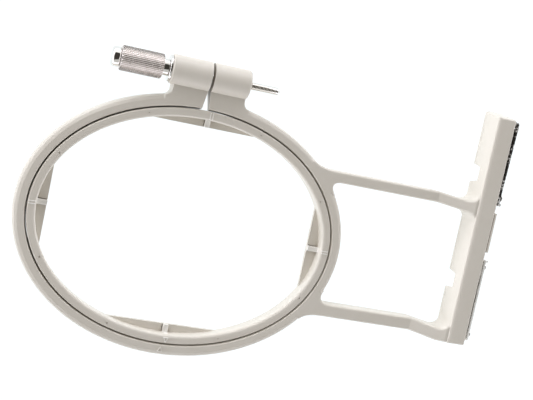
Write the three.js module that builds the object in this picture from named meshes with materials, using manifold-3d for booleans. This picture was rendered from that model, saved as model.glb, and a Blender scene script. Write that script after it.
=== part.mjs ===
// Machine embroidery hoop: a split oval outer hoop with a screw clamp, an inner hoop with four tabs, and
// two arms to a coupling bar whose sprung latch sliders hold it on a carriage's two studs.
// Millimetres, +Z up. +X points from the hoop to the coupling bar and +Y towards the clamp.
// The origin is the middle of the coupling's underside, where it sits on the carriage.
import * as THREE from "three";
import { mergeVertices } from "three/addons/utils/BufferGeometryUtils.js";
import Module from "manifold-3d";

// Sewing field, between the inner hoop's tab edges
const FIELD_LENGTH = 132;
const FIELD_WIDTH = 99.6;

// Hoops
const TAB_DEPTH_X = 5;
const TAB_DEPTH_Y = 3.65;
const TAB_THICKNESS = 2;
const TAB_RIB_WIDTH = 2.6;
const TAB_RIB_RISE = 2.2;
const INNER_WALL = 4.4;
const OUTER_WALL = 5.6;
const HOOP_GAP = 0.7;
const HOOP_HEIGHT = 10;
const SHOULDER_WIDTH = 2.2;
const SHOULDER_DROP = 2.2;
const EDGE_BREAK = 0.3;
const MARK_RISE = 0.3;
const MARK_WIDTH = 1.5;
const ARROW_WIDTH = 2.8;
const ARROW_HEIGHT = 2.8;
const ARROW_LINE = 0.45;
const CENTRE_OFFSET = 2;

// Clamp ears
const EAR_REACH = 10;
const BARREL_RADIUS = 7.15;
const BARREL_LIFT = 0.85;
const SLIT_OFFSET = -1.9;
const SLIT_AT_RIM = 3.9;
const SLIT_AT_END = 1.5;
const LEFT_EAR_LENGTH = 19.8;
const RIGHT_EAR_LENGTH = 19;
const LEFT_NECK_INSET = 2.4;
const RIGHT_NECK_INSET = 0.4;
const NECK_FILLET = 3;

// Clamp screw
const THREAD_RADIUS = 2;
const BORE_CLEARANCE = 0.3;
const WASHER_RADIUS = 6.5;
const WASHER_THICKNESS = 1.1;
const NECK_RADIUS = 4.1;
const NECK_LENGTH = 2.7;
const KNOB_RADIUS = 6.1;
const KNOB_LENGTH = 20.3;
const KNOB_CORE_RADIUS = 3.2;
const KNURL_COUNT = 44;
const KNURL_DEPTH = 0.45;
const CAP_RADIUS = 4.9;
const CAP_LENGTH = 4.4;
const CAP_CHAMFER = 0.8;
const TIP_LENGTH = 15.7;
const TIP_CHAMFER = 0.4;
const NUT_WIDTH = 7;
const NUT_THICKNESS = 3.2;
const NUT_SETBACK = 7.5;

// Arms
const ARM_SPAN = 66.55;
const REAR_ARM_WIDTH = 5.7;
const FRONT_ARM_WIDTH = 6.6;
const ARM_LIFT = 1;
const REAR_ARM_OFFSET = 37.4;
const REAR_ARM_JOG = 1.55;
const FRONT_ARM_JOG = 2.35;
const RAMP_LAND = 1.5;
const RAMP_RUN = 18.5;
const RAMP_STEP = 0.8;
const WINDOW_FILLET = 8;
const WINDOW_RIM_FILLET = 6.5;
const OUTER_FILLET = 11;
const OUTER_RIM_FILLET = 4;
const BAR_FILLET = 6;

// Coupling bar
const COUPLING_OFFSET = 26;
const BAR_END_LENGTH = 13.6;
const FRONT_END_EXTRA = 1.4;
const BAR_END_FLARE = 2.4;
const BAR_CORNER = 2;
const CHANNEL_WIDTH = 6.4;
const LUG_HEADROOM = 3.15;
const HOOP_SIDE_SKIN = 1.6;
const OUTER_SKIN = 2;
const ROOF = 2;
const END_SKIN = 2;
const RIB_THICKNESS = 1.8;
const PAD_HALF_LENGTH = 10.5;
const PAD_THICKNESS = 2.2;

// Carriage studs and the notches beside them
const STUD_OFFSET = 28.8;
const STUD_HEAD_RADIUS = 1.9;
const STUD_NECK_RADIUS = 1.25;
const STUD_CLEARANCE = 0.2;
const NOTCH_WIDTH = 7.1;
const NOTCH_HEIGHT = 8;
const NOTCH_FLARE = 1.25;

// Latch sliders
const LATCH_TRAVEL = 3.2;
const STRIP_THICKNESS = 1.4;
const STRIP_STANDOFF = 0.7;
const STRIP_PARTING = 0.8;
const STRIP_END_INSET = 0.6;
const STRIP_HEIGHT = 10.4;
const STRIP_DROP = 1;
const FINGER_TAB_REACH = 1;
const TONGUE_LIFT = 0.6;
const TONGUE_MARGIN = 2.3;

// Latch springs
const SPRING_RADIUS = 1.8;
const SPRING_WIRE = 0.5;
const SPRING_CURLS = 7;
const STEPS_PER_CURL = 8;
const WIRE_SIDES = 5;
const SPIGOT_CLEARANCE = 0.35;
const SPIGOT_LENGTH = 2.5;

// Screws of the coupling
const SLIDER_SCREW_RADIUS = 1;
const SLIDER_HEAD_RADIUS = 2.1;
const SLIDER_HEAD_HEIGHT = 0.7;
const SLIDER_SCREW_INSET = 4;
const SLIDER_SCREW_BOSS = 0.9;
const COVER_THICKNESS = 1.6;
const COVER_SCREW_RADIUS = 1.15;
const COVER_HEAD_RADIUS = 2.3;
const COVER_HEAD_SETBACK = 0.4;
const COVER_SCREW_LENGTH = 9;
const COVER_SCREW_MARGIN = 9.6;
const SCREW_BLOCK_LENGTH = 6;

// Fits and facets
const SEAT = 0.1;
const SLIP = 0.15;
const RUNNING_FIT = 0.05;
const CUT = 1;
const WELD = 1e-4;
const OVAL_STEPS = 96;
const ROUND_STEPS = 32;
const HOLE_STEPS = 24;
const FILLET_STEPS = 6;

// Hoop ovals, worked outwards from the sewing field
const innerOpenX = FIELD_LENGTH / 2 + TAB_DEPTH_X;
const innerOpenY = FIELD_WIDTH / 2 + TAB_DEPTH_Y;
const outerHoopOffset = INNER_WALL + HOOP_GAP;
const rimX = innerOpenX + outerHoopOffset + OUTER_WALL;
const rimY = innerOpenY + outerHoopOffset + OUTER_WALL;

// Clamp stations along X, from the slit outwards
const screwY = rimY + EAR_REACH;
const barrelZ = BARREL_RADIUS + BARREL_LIFT;
const leftEarX = SLIT_OFFSET - LEFT_EAR_LENGTH;
const rightEarX = SLIT_OFFSET + RIGHT_EAR_LENGTH;
const washerX = leftEarX - SEAT - WASHER_THICKNESS;
const neckX = washerX - SEAT - NECK_LENGTH;
const knobX = neckX - SEAT - KNOB_LENGTH;
const capX = knobX - SEAT - CAP_LENGTH;
const tipX = rightEarX + TIP_LENGTH;
const nutX = rightEarX - NUT_SETBACK - NUT_THICKNESS;

// Latch and spring stations, as heights and as distances from the coupling's middle
const tongueBottom = NOTCH_HEIGHT + TONGUE_LIFT;
const tongueTop = tongueBottom + STRIP_THICKNESS;
const springZ = (tongueBottom + tongueTop) / 2;
const spigotRadius = SPRING_RADIUS - SPRING_WIRE / 2 - SPIGOT_CLEARANCE;
const lugHalfHeight = SPRING_RADIUS + SPRING_WIRE / 2 + 2 * SLIP;
const keyholeRadius = STUD_HEAD_RADIUS + STUD_CLEARANCE;
const keyholeY = STUD_OFFSET + LATCH_TRAVEL;
const tongueEnd = keyholeY + keyholeRadius + TONGUE_MARGIN;
const lugY = STUD_OFFSET - keyholeRadius - TONGUE_MARGIN;
const ribY = PAD_HALF_LENGTH + RIB_THICKNESS;
const coverScrewOffset = tongueEnd + COVER_SCREW_MARGIN;
const coverHeadHeight = COVER_THICKNESS - COVER_HEAD_SETBACK;
const barReach = coverScrewOffset + BAR_END_LENGTH;

// Coupling stations
const barX = rimX + ARM_SPAN;
const channelX0 = barX + HOOP_SIDE_SKIN;
const channelX1 = channelX0 + CHANNEL_WIDTH;
const channelMiddleX = (channelX0 + channelX1) / 2;
const barOuterX = channelX1 + OUTER_SKIN;
const barMiddleX = (barX + barOuterX) / 2;
const channelTop = springZ + lugHalfHeight + LUG_HEADROOM;
const barHeight = channelTop + ROOF;
const coverSeat = COVER_THICKNESS + SEAT;
const barFrontY = COUPLING_OFFSET - barReach - FRONT_END_EXTRA;
const barRearY = COUPLING_OFFSET + barReach;
const stripX0 = barOuterX + STRIP_STANDOFF;
const stripX1 = stripX0 + STRIP_THICKNESS;
const stripStart = PAD_HALF_LENGTH + LATCH_TRAVEL + STRIP_PARTING;
const stripEnd = barReach - STRIP_END_INSET;
const stripTop = barHeight - STRIP_DROP;
const stripBottom = stripTop - STRIP_HEIGHT;
const sliderScrewZ = stripTop - SLIDER_HEAD_RADIUS - SLIP;
const sliderScrewStations = {
  inner: stripStart + SLIDER_SCREW_INSET,
  outer: stripEnd - SLIDER_SCREW_INSET,
};
const SIDES = { rear: 1, front: -1 };

const wasm = await Module();
wasm.setup();

const plastic = new THREE.MeshStandardMaterial({ color: 0xd6d1c6, roughness: 0.5, metalness: 0 });
const steel = new THREE.MeshStandardMaterial({ color: 0xc9c7c4, roughness: 0.25, metalness: 1 });
const knurledSteel = new THREE.MeshStandardMaterial({ color: 0xb3aaa6, roughness: 0.4, metalness: 1 });
const springSteel = new THREE.MeshStandardMaterial({ color: 0x8d8c8a, roughness: 0.35, metalness: 1 });

/** A closed geometry as a solid that can be joined and cut. */
function solid(geometry) {
  const bare = geometry.index ? geometry.toNonIndexed() : geometry.clone();
  bare.deleteAttribute("normal");
  bare.deleteAttribute("uv");
  const merged = mergeVertices(bare, WELD);
  const index = merged.index.array;
  const corners = [];
  for (let i = 0; i < index.length; i += 3) {
    const [a, b, c] = index.slice(i, i + 3);
    if (a !== b && b !== c && a !== c) corners.push(a, b, c);
  }
  const vertProperties = merged.attributes.position.array;
  return new wasm.Manifold(new wasm.Mesh({ numProp: 3, vertProperties, triVerts: new Uint32Array(corners) }));
}

/** A named mesh of a solid. */
function piece(name, body, material) {
  const { vertProperties, triVerts } = body.getMesh();
  const geometry = new THREE.BufferGeometry();
  geometry.setAttribute("position", new THREE.BufferAttribute(vertProperties, 3));
  geometry.setIndex(new THREE.BufferAttribute(triVerts, 1));
  const mesh = new THREE.Mesh(geometry, material);
  mesh.name = name;
  return mesh;
}

/** One solid of several. */
function join(first, ...others) {
  return others.reduce((body, other) => body.add(other), first);
}

/** A solid with several others cut from it. */
function cut(first, ...others) {
  return others.reduce((body, other) => body.subtract(other), first);
}

function box(x0, x1, y0, y1, z0, z1) {
  const geometry = new THREE.BoxGeometry(x1 - x0, y1 - y0, z1 - z0);
  return solid(geometry.translate((x0 + x1) / 2, (y0 + y1) / 2, (z0 + z1) / 2));
}

function rodX(radius, x0, x1, y, z, steps = HOLE_STEPS) {
  const geometry = new THREE.CylinderGeometry(radius, radius, x1 - x0, steps).rotateZ(Math.PI / 2);
  return solid(geometry.translate((x0 + x1) / 2, y, z));
}

function rodY(radius, y0, y1, x, z) {
  const geometry = new THREE.CylinderGeometry(radius, radius, Math.abs(y1 - y0), HOLE_STEPS);
  return solid(geometry.translate(x, (y0 + y1) / 2, z));
}

/** An upright round bar, or a cone where its two radii differ. */
function rodZ(bottomRadius, topRadius, z0, z1, x, y) {
  const geometry = new THREE.CylinderGeometry(topRadius, bottomRadius, z1 - z0, HOLE_STEPS);
  return solid(geometry.rotateX(Math.PI / 2).translate(x, y, (z0 + z1) / 2));
}

/** A plan outline raised from z0 to z1. */
function plate(shape, z0, z1, curveSegments = FILLET_STEPS) {
  const geometry = new THREE.ExtrudeGeometry(shape, { depth: z1 - z0, bevelEnabled: false, curveSegments });
  return solid(geometry.translate(0, 0, z0));
}

/** An outline in Y and Z, drawn out along X. */
function alongX(shape, x0, x1) {
  const geometry = new THREE.ExtrudeGeometry(shape, { depth: x1 - x0, bevelEnabled: false });
  const [y, z, x] = [new THREE.Vector3(0, 1, 0), new THREE.Vector3(0, 0, 1), new THREE.Vector3(1, 0, 0)];
  geometry.applyMatrix4(new THREE.Matrix4().makeBasis(y, z, x));
  return solid(geometry.translate(x0, 0, 0));
}

/** An outline in X and Z, drawn out along Y. */
function alongY(shape, y0, y1) {
  const geometry = new THREE.ExtrudeGeometry(shape, { depth: y1 - y0, bevelEnabled: false });
  const [x, z, back] = [new THREE.Vector3(1, 0, 0), new THREE.Vector3(0, 0, 1), new THREE.Vector3(0, -1, 0)];
  geometry.applyMatrix4(new THREE.Matrix4().makeBasis(x, z, back));
  return solid(geometry.translate(0, y1, 0));
}

function outline(points) {
  return new THREE.Shape(points.map(([u, v]) => new THREE.Vector2(u, v)));
}

/** A profile of [distance from the hoop's opening, height] points, swept round that oval. */
function ovalSweep(profile) {
  const hub = innerOpenX + innerOpenY;
  const points = [...profile, profile[0]].map(([offset, z]) => new THREE.Vector2(hub + offset, z));
  const geometry = new THREE.LatheGeometry(points, OVAL_STEPS);
  const place = geometry.getAttribute("position");
  for (let i = 0; i < place.count; i++) {
    const [sine, height, cosine] = [place.getX(i), place.getY(i), place.getZ(i)];
    const angle = Math.atan2(sine, cosine);
    const offset = Math.hypot(sine, cosine) - hub;
    const normal = new THREE.Vector2(innerOpenY * Math.cos(angle), innerOpenX * Math.sin(angle)).normalize();
    const x = innerOpenX * Math.cos(angle) + offset * normal.x;
    const y = innerOpenY * Math.sin(angle) + offset * normal.y;
    place.setXYZ(i, x, y, height);
  }
  return solid(geometry);
}

/** The X of the outer hoop's rim at a given Y, on the coupling's side. */
function rimXAt(y) {
  return rimX * Math.sqrt(1 - (y / rimY) ** 2);
}

/** The Y of the outer hoop's rim at a given X, on the clamp's side. */
function rimYAt(x) {
  return rimY * Math.sqrt(1 - (x / rimX) ** 2);
}

/** A raised triangle outline, its tip pointing up or down in plan. */
function arrowMark(x, y, tipSide) {
  const triangle = (size) => {
    const half = (tipSide * size * ARROW_WIDTH) / 2;
    const third = (tipSide * size * ARROW_HEIGHT) / 3;
    return [[x - half, y - third], [x + half, y - third], [x, y + 2 * third]];
  };
  const shape = outline(triangle(1));
  shape.holes.push(outline(triangle(1 - (3 * ARROW_LINE) / ARROW_HEIGHT)));
  return plate(shape, HOOP_HEIGHT - MARK_RISE, HOOP_HEIGHT + MARK_RISE);
}

/** The split outer ring, with its sloped shoulder, before the slit is cut. */
function outerRing() {
  const inside = outerHoopOffset;
  const outside = inside + OUTER_WALL;
  return ovalSweep([
    [inside, 0],
    [outside - EDGE_BREAK, 0],
    [outside, EDGE_BREAK],
    [outside, HOOP_HEIGHT - SHOULDER_DROP],
    [outside - SHOULDER_WIDTH / 3, HOOP_HEIGHT - SHOULDER_DROP / 3],
    [outside - SHOULDER_WIDTH, HOOP_HEIGHT],
    [inside + EDGE_BREAK, HOOP_HEIGHT],
    [inside, HOOP_HEIGHT - EDGE_BREAK],
  ]);
}

/** The clamp's two ears as one block: a flat neck on the ring and a barrel for the screw. */
function clampEars() {
  const left = leftEarX + LEFT_NECK_INSET;
  const right = rightEarX - RIGHT_NECK_INSET;
  const root = rimYAt(Math.max(-left, right) + NECK_FILLET) - OUTER_WALL / 2;
  const neck = new THREE.Shape();
  neck.moveTo(left - NECK_FILLET, root);
  neck.lineTo(right + NECK_FILLET, root);
  neck.lineTo(right + NECK_FILLET, rimYAt(right + NECK_FILLET));
  neck.quadraticCurveTo(right, rimYAt(right), right, rimYAt(right) + NECK_FILLET);
  neck.lineTo(right, screwY);
  neck.lineTo(left, screwY);
  neck.lineTo(left, rimYAt(left) + NECK_FILLET);
  neck.quadraticCurveTo(left, rimYAt(left), left - NECK_FILLET, rimYAt(left - NECK_FILLET));
  const barrel = rodX(BARREL_RADIUS, leftEarX, rightEarX, screwY, barrelZ, ROUND_STEPS);
  return plate(neck, 0, HOOP_HEIGHT).add(barrel);
}

/** What the clamp leaves open: the tapered slit, the screw's bore and the nut's pocket. */
function clampCuts() {
  const slitStart = rimY - OUTER_WALL - HOOP_GAP - CUT;
  const slitEnd = screwY + BARREL_RADIUS + CUT;
  const slit = outline([
    [SLIT_OFFSET - SLIT_AT_RIM / 2, slitStart],
    [SLIT_OFFSET + SLIT_AT_RIM / 2, slitStart],
    [SLIT_OFFSET + SLIT_AT_END / 2, slitEnd],
    [SLIT_OFFSET - SLIT_AT_END / 2, slitEnd],
  ]);
  const nutHalf = NUT_WIDTH / 2 + SLIP;
  const pocketTop = barrelZ + nutHalf;
  return [
    plate(slit, -CUT, barrelZ + BARREL_RADIUS + CUT),
    rodX(THREAD_RADIUS + BORE_CLEARANCE, leftEarX - CUT, rightEarX + CUT, screwY, barrelZ),
    box(nutX - SLIP, nutX + NUT_THICKNESS + SLIP, screwY - nutHalf, screwY + nutHalf, -CUT, pocketTop),
  ];
}

/** The arms' side view, which both arms are trimmed to: flat, then a ramp up to the bar. */
function armProfile() {
  const rampTop = barX - RAMP_LAND;
  const barTop = barHeight - RAMP_STEP;
  const inBar = barX + HOOP_SIDE_SKIN / 2;
  return outline([
    [0, ARM_LIFT],
    [barX - SEAT, ARM_LIFT],
    [barX - SEAT, coverSeat],
    [inBar, coverSeat],
    [inBar, barTop],
    [rampTop, barTop],
    [rampTop - RAMP_RUN, HOOP_HEIGHT],
    [0, HOOP_HEIGHT],
  ]);
}

/** An arm in plan from the rim to the bar. side is +1 where the window lies below it in plan. */
function armPlan(windowAtHoop, windowAtBar, side, width, outerBarFillet) {
  const outerAtHoop = windowAtHoop + side * width;
  const outerAtBar = windowAtBar + side * width;
  const windowRim = windowAtHoop - side * WINDOW_RIM_FILLET;
  const outerRim = outerAtHoop + side * OUTER_RIM_FILLET;
  const rampTop = barX - RAMP_LAND;
  const inBar = barX + HOOP_SIDE_SKIN / 2;
  const windowX = rimXAt(windowAtHoop);
  const shape = new THREE.Shape();
  shape.moveTo(rimXAt(windowRim) - OUTER_WALL / 2, windowRim);
  shape.lineTo(rimXAt(windowRim), windowRim);
  shape.quadraticCurveTo(windowX, windowAtHoop, windowX + WINDOW_FILLET, windowAtHoop);
  shape.lineTo(rampTop - RAMP_RUN, windowAtHoop);
  shape.lineTo(barX - BAR_FILLET, windowAtBar);
  shape.quadraticCurveTo(barX, windowAtBar, barX, windowAtBar - side * BAR_FILLET);
  shape.lineTo(inBar, windowAtBar - side * BAR_FILLET);
  shape.lineTo(inBar, outerAtBar + side * outerBarFillet);
  if (outerBarFillet > 0) {
    shape.lineTo(barX, outerAtBar + side * outerBarFillet);
    shape.quadraticCurveTo(barX, outerAtBar, barX - outerBarFillet, outerAtBar);
  }
  shape.lineTo(barX - BAR_FILLET, outerAtBar);
  shape.lineTo(rampTop - RAMP_RUN, outerAtHoop);
  shape.lineTo(rimXAt(outerAtHoop) + OUTER_FILLET, outerAtHoop);
  shape.quadraticCurveTo(rimXAt(outerAtHoop), outerAtHoop, rimXAt(outerRim), outerRim);
  shape.lineTo(rimXAt(outerRim) - OUTER_WALL / 2, outerRim);
  return shape;
}

function arms() {
  const rearWindow = REAR_ARM_OFFSET - REAR_ARM_WIDTH / 2;
  const frontWindow = barFrontY + FRONT_ARM_WIDTH;
  const rear = armPlan(rearWindow + REAR_ARM_JOG, rearWindow, 1, REAR_ARM_WIDTH, BAR_FILLET);
  const front = armPlan(frontWindow + FRONT_ARM_JOG, frontWindow, -1, FRONT_ARM_WIDTH, 0);
  const both = plate(rear, 0, barHeight).add(plate(front, 0, barHeight));
  return both.intersect(alongY(armProfile(), barFrontY - rimY, rimY));
}

/** The coupling bar's outside as one block, from the seat to the top. */
function barBlock() {
  const side = outline([
    [barFrontY, 0],
    [barRearY + BAR_END_FLARE, 0],
    [barRearY, barHeight],
    [barFrontY, barHeight],
  ]);
  const cornerStart = barRearY + BAR_END_FLARE - BAR_CORNER;
  const cornerEnd = barRearY + BAR_END_FLARE + CUT;
  const corner = outline([
    [barX - CUT, cornerStart - CUT],
    [barX + BAR_CORNER + CUT, cornerEnd],
    [barX - CUT, cornerEnd],
  ]);
  return alongX(side, barX, barOuterX).subtract(plate(corner, -CUT, barHeight + CUT));
}

/** The notch that lets a stud's carrier in from the hoop's side, wider at its foot. */
function studNotch(y) {
  const foot = NOTCH_WIDTH / 2 + NOTCH_FLARE;
  const head = NOTCH_WIDTH / 2;
  const trapezium = outline([
    [y - foot, 0],
    [y + foot, 0],
    [y + head, NOTCH_HEIGHT],
    [y - head, NOTCH_HEIGHT],
  ]);
  const below = box(barX - CUT, channelX1 - SLIP, y - foot, y + foot, -CUT, CUT / 2);
  return alongX(trapezium, barX - CUT, channelX1 - SLIP).add(below);
}

/** What one half of the bar leaves open: notch, latch window and screw bores. */
function couplingCuts(side) {
  const at = (distance) => COUPLING_OFFSET + side * distance;
  const [windowA, windowB] = [at(lugY - LATCH_TRAVEL - 2 * SLIP), at(tongueEnd + 2 * SLIP)];
  const windowLow = springZ - lugHalfHeight - 2 * SLIP;
  const windowHigh = springZ + lugHalfHeight + 2 * SLIP;
  const screwTip = channelX1 - SLIDER_SCREW_BOSS - CUT;
  const bores = Object.values(sliderScrewStations).map((distance) =>
    rodX(SLIDER_SCREW_RADIUS + RUNNING_FIT, screwTip, barOuterX + CUT, at(distance), sliderScrewZ));
  const coverBore = COVER_SCREW_RADIUS + RUNNING_FIT;
  const coverBoreTop = COVER_SCREW_LENGTH + CUT;
  const [low, high] = [Math.min(windowA, windowB), Math.max(windowA, windowB)];
  return [
    studNotch(at(STUD_OFFSET)),
    box(channelX1 - CUT, barOuterX + CUT, low, high, windowLow, windowHigh),
    rodZ(coverBore, coverBore, 0, coverBoreTop, channelMiddleX, at(coverScrewOffset)),
    ...bores,
  ];
}

/** What one half of the channel holds: the spring's rib and spigot, screw block and screw bosses. */
function couplingRibs(side) {
  const at = (distance) => COUPLING_OFFSET + side * distance;
  const across = (near, far) => {
    const [low, high] = [Math.min(at(near), at(far)), Math.max(at(near), at(far))];
    return box(channelX0 - CUT / 2, channelX1 + CUT / 2, low, high, coverSeat, channelTop + CUT / 2);
  };
  const blockHalf = SCREW_BLOCK_LENGTH / 2;
  const bosses = Object.values(sliderScrewStations).map((distance) =>
    rodX(SLIDER_HEAD_RADIUS, channelX1 - SLIDER_SCREW_BOSS, channelX1 + CUT / 2, at(distance), sliderScrewZ));
  const spigot = rodY(spigotRadius, at(ribY - CUT / 2), at(ribY + SPIGOT_LENGTH), channelMiddleX, springZ);
  return [
    across(PAD_HALF_LENGTH, ribY),
    across(coverScrewOffset - blockHalf, coverScrewOffset + blockHalf),
    spigot,
    ...bosses,
  ];
}

/** The hollow coupling bar above its cover, with the pad between the sliders. */
function couplingBar() {
  const above = box(0, barOuterX + CUT, barFrontY - CUT, barRearY + rimY, coverSeat, barHeight);
  const shell = barBlock().intersect(above);
  const channel = box(channelX0, channelX1, barFrontY + END_SKIN, barRearY - END_SKIN, 0, channelTop);
  const [padLow, padHigh] = [COUPLING_OFFSET - PAD_HALF_LENGTH, COUPLING_OFFSET + PAD_HALF_LENGTH];
  const pad = box(barOuterX - CUT, barOuterX + PAD_THICKNESS, padLow, padHigh, stripBottom, stripTop);
  const hollow = cut(shell.add(pad), channel);
  const ribs = [...couplingRibs(SIDES.rear), ...couplingRibs(SIDES.front)];
  return cut(join(hollow, ...ribs), ...couplingCuts(SIDES.rear), ...couplingCuts(SIDES.front));
}

function outerHoop() {
  const ringMiddle = rimY - OUTER_WALL / 2;
  const arrow = arrowMark(0, -ringMiddle, 1);
  const frame = join(outerRing(), clampEars(), arms(), arrow);
  const channelClear = box(channelX0, barOuterX, barFrontY, barRearY, -CUT, barHeight - ROOF);
  return join(cut(frame, ...clampCuts(), channelClear), couplingBar());
}

/**
 * One of the hoop's four half axes: its turn from +X, the field's edge and the opening's wall on it, and how
 * far towards the coupling bar its rib and mark sit.
 */
function halfAxis(quarterTurns) {
  const lengthwise = quarterTurns % 2 === 0;
  return {
    angle: (quarterTurns * Math.PI) / 2,
    edge: (lengthwise ? FIELD_LENGTH : FIELD_WIDTH) / 2,
    wall: lengthwise ? innerOpenX : innerOpenY,
    shift: lengthwise ? 0 : CENTRE_OFFSET,
  };
}

/** A flat tab across one end of the opening. */
function tab(quarterTurns) {
  const { angle, edge } = halfAxis(quarterTurns);
  const margin = INNER_WALL / 2;
  const oval = new THREE.Shape();
  oval.absellipse(0, 0, innerOpenX + margin, innerOpenY + margin, 0, 2 * Math.PI);
  const reach = rimX + rimY;
  const beyond = new THREE.BoxGeometry(reach, 2 * reach, 2 * HOOP_HEIGHT).translate(edge + reach / 2, 0, 0);
  return plate(oval, 0, TAB_THICKNESS, OVAL_STEPS / 2).intersect(solid(beyond.rotateZ(angle)));
}

/** The raised rib along a tab's middle, from the tab's edge into the ring's wall. */
function tabRib(quarterTurns) {
  const { angle, edge, wall, shift } = halfAxis(quarterTurns);
  const length = wall + INNER_WALL / 2 - edge;
  const height = TAB_THICKNESS + TAB_RIB_RISE;
  const rib = new THREE.BoxGeometry(length, TAB_RIB_WIDTH, height);
  return solid(rib.translate(edge + length / 2, 0, height / 2).rotateZ(angle).translate(shift, 0, 0));
}

/** A raised line across the inner hoop's top face, on one of the half axes. */
function centreMark(quarterTurns) {
  const { angle, wall, shift } = halfAxis(quarterTurns);
  const length = INNER_WALL - 2 * EDGE_BREAK;
  const line = new THREE.BoxGeometry(length, MARK_WIDTH, 2 * MARK_RISE);
  line.translate(wall + INNER_WALL / 2, 0, HOOP_HEIGHT);
  return solid(line.rotateZ(angle).translate(shift, 0, 0));
}

function innerHoop() {
  const ring = ovalSweep([
    [0, 0],
    [INNER_WALL, 0],
    [INNER_WALL, HOOP_HEIGHT - EDGE_BREAK],
    [INNER_WALL - EDGE_BREAK, HOOP_HEIGHT],
    [EDGE_BREAK, HOOP_HEIGHT],
    [0, HOOP_HEIGHT - EDGE_BREAK],
  ]);
  const [right, rear, left, front] = [0, 1, 2, 3];
  const ends = [right, rear, left, front].flatMap((end) => [tab(end), tabRib(end)]);
  const marks = [right, rear, left].map(centreMark);
  const arrow = arrowMark(CENTRE_OFFSET, -(innerOpenY + INNER_WALL / 2), -1);
  return join(ring, ...ends, ...marks, arrow);
}

/** A turned profile of [x, radius] points about the clamp screw's axis. */
function turned(points) {
  const profile = points.map(([x, radius]) => new THREE.Vector2(radius, x));
  const geometry = new THREE.LatheGeometry(profile, ROUND_STEPS).rotateZ(-Math.PI / 2);
  return solid(geometry.translate(0, screwY, barrelZ));
}

function clampScrew() {
  return turned([
    [capX, 0],
    [capX, CAP_RADIUS - CAP_CHAMFER],
    [capX + CAP_CHAMFER, CAP_RADIUS],
    [capX + CAP_LENGTH - CAP_CHAMFER, CAP_RADIUS],
    [capX + CAP_LENGTH, CAP_RADIUS - CAP_CHAMFER],
    [capX + CAP_LENGTH, KNOB_CORE_RADIUS],
    [neckX, KNOB_CORE_RADIUS],
    [neckX, NECK_RADIUS],
    [neckX + NECK_LENGTH, NECK_RADIUS],
    [neckX + NECK_LENGTH, THREAD_RADIUS],
    [tipX - TIP_CHAMFER, THREAD_RADIUS],
    [tipX, THREAD_RADIUS - TIP_CHAMFER],
    [tipX, 0],
  ]);
}

/** The knurled sleeve, with straight grooves round it. */
function clampKnob() {
  const points = [];
  for (let i = 0; i < 2 * KNURL_COUNT; i++) {
    const radius = KNOB_RADIUS - (i % 2) * KNURL_DEPTH;
    const angle = (i * Math.PI) / KNURL_COUNT;
    points.push([screwY + radius * Math.cos(angle), barrelZ + radius * Math.sin(angle)]);
  }
  const bore = rodX(KNOB_CORE_RADIUS + RUNNING_FIT, knobX - CUT, knobX + KNOB_LENGTH + CUT,
    screwY, barrelZ, ROUND_STEPS);
  return alongX(outline(points), knobX, knobX + KNOB_LENGTH).subtract(bore);
}

function clampWasher() {
  const disc = rodX(WASHER_RADIUS, washerX, washerX + WASHER_THICKNESS, screwY, barrelZ, ROUND_STEPS);
  const hole = THREAD_RADIUS + BORE_CLEARANCE;
  return disc.subtract(rodX(hole, washerX - CUT, washerX + WASHER_THICKNESS + CUT, screwY, barrelZ));
}

function clampNut() {
  const half = NUT_WIDTH / 2;
  const block = box(nutX, nutX + NUT_THICKNESS, screwY - half, screwY + half,
    barrelZ - half, barrelZ + half);
  const hole = THREAD_RADIUS + RUNNING_FIT;
  return block.subtract(rodX(hole, nutX - CUT, nutX + NUT_THICKNESS + CUT, screwY, barrelZ, ROUND_STEPS));
}

/** A bent strip: finger tab, guide slots, and a tongue with a keyhole that grips a stud's neck. */
function latchSlider(side) {
  const at = (distance) => COUPLING_OFFSET + side * distance;
  const slab = (x0, x1, near, far, z0, z1) =>
    box(x0, x1, Math.min(at(near), at(far)), Math.max(at(near), at(far)), z0, z1);
  const tongueX = channelX0 + 2 * SLIP;
  const strip = slab(stripX0, stripX1, stripStart, stripEnd, stripBottom, stripTop);
  const finger = slab(stripX0, stripX1 + FINGER_TAB_REACH, stripStart, stripStart + STRIP_THICKNESS,
    stripBottom, stripTop);
  const tongue = slab(tongueX, stripX0 + CUT, lugY, tongueEnd, tongueBottom, tongueTop);
  const lug = slab(tongueX, channelX1 - SLIDER_SCREW_BOSS - 2 * SLIP, lugY, lugY + STRIP_THICKNESS,
    springZ - lugHalfHeight, springZ + lugHalfHeight);
  const neckHalf = STUD_NECK_RADIUS + STUD_CLEARANCE / 2;
  const keySlot = slab(channelMiddleX - neckHalf, channelMiddleX + neckHalf,
    STUD_OFFSET - neckHalf, keyholeY, tongueBottom - CUT / 2, tongueTop + CUT / 2);
  const keyHole = rodZ(keyholeRadius, keyholeRadius, tongueBottom - CUT / 2, tongueTop + CUT / 2,
    channelMiddleX, at(keyholeY));
  const guide = SLIDER_SCREW_RADIUS + SLIP;
  const slots = Object.values(sliderScrewStations).map((distance) =>
    slab(stripX0 - CUT / 4, stripX1 + CUT / 4, distance - guide, distance + guide + LATCH_TRAVEL,
      sliderScrewZ - guide, sliderScrewZ + guide));
  return cut(join(strip, finger, tongue, lug), keySlot, keyHole, ...slots);
}

/** A coil spring's centre line, along Y from its start. */
class CoilLine extends THREE.Curve {
  constructor(startY, endY) {
    super();
    this.startY = startY;
    this.endY = endY;
  }

  getPoint(t, target = new THREE.Vector3()) {
    const angle = 2 * Math.PI * SPRING_CURLS * t;
    const x = channelMiddleX + SPRING_RADIUS * Math.cos(angle);
    const z = springZ + SPRING_RADIUS * Math.sin(angle);
    return target.set(x, THREE.MathUtils.lerp(this.startY, this.endY, t), z);
  }
}

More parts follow.
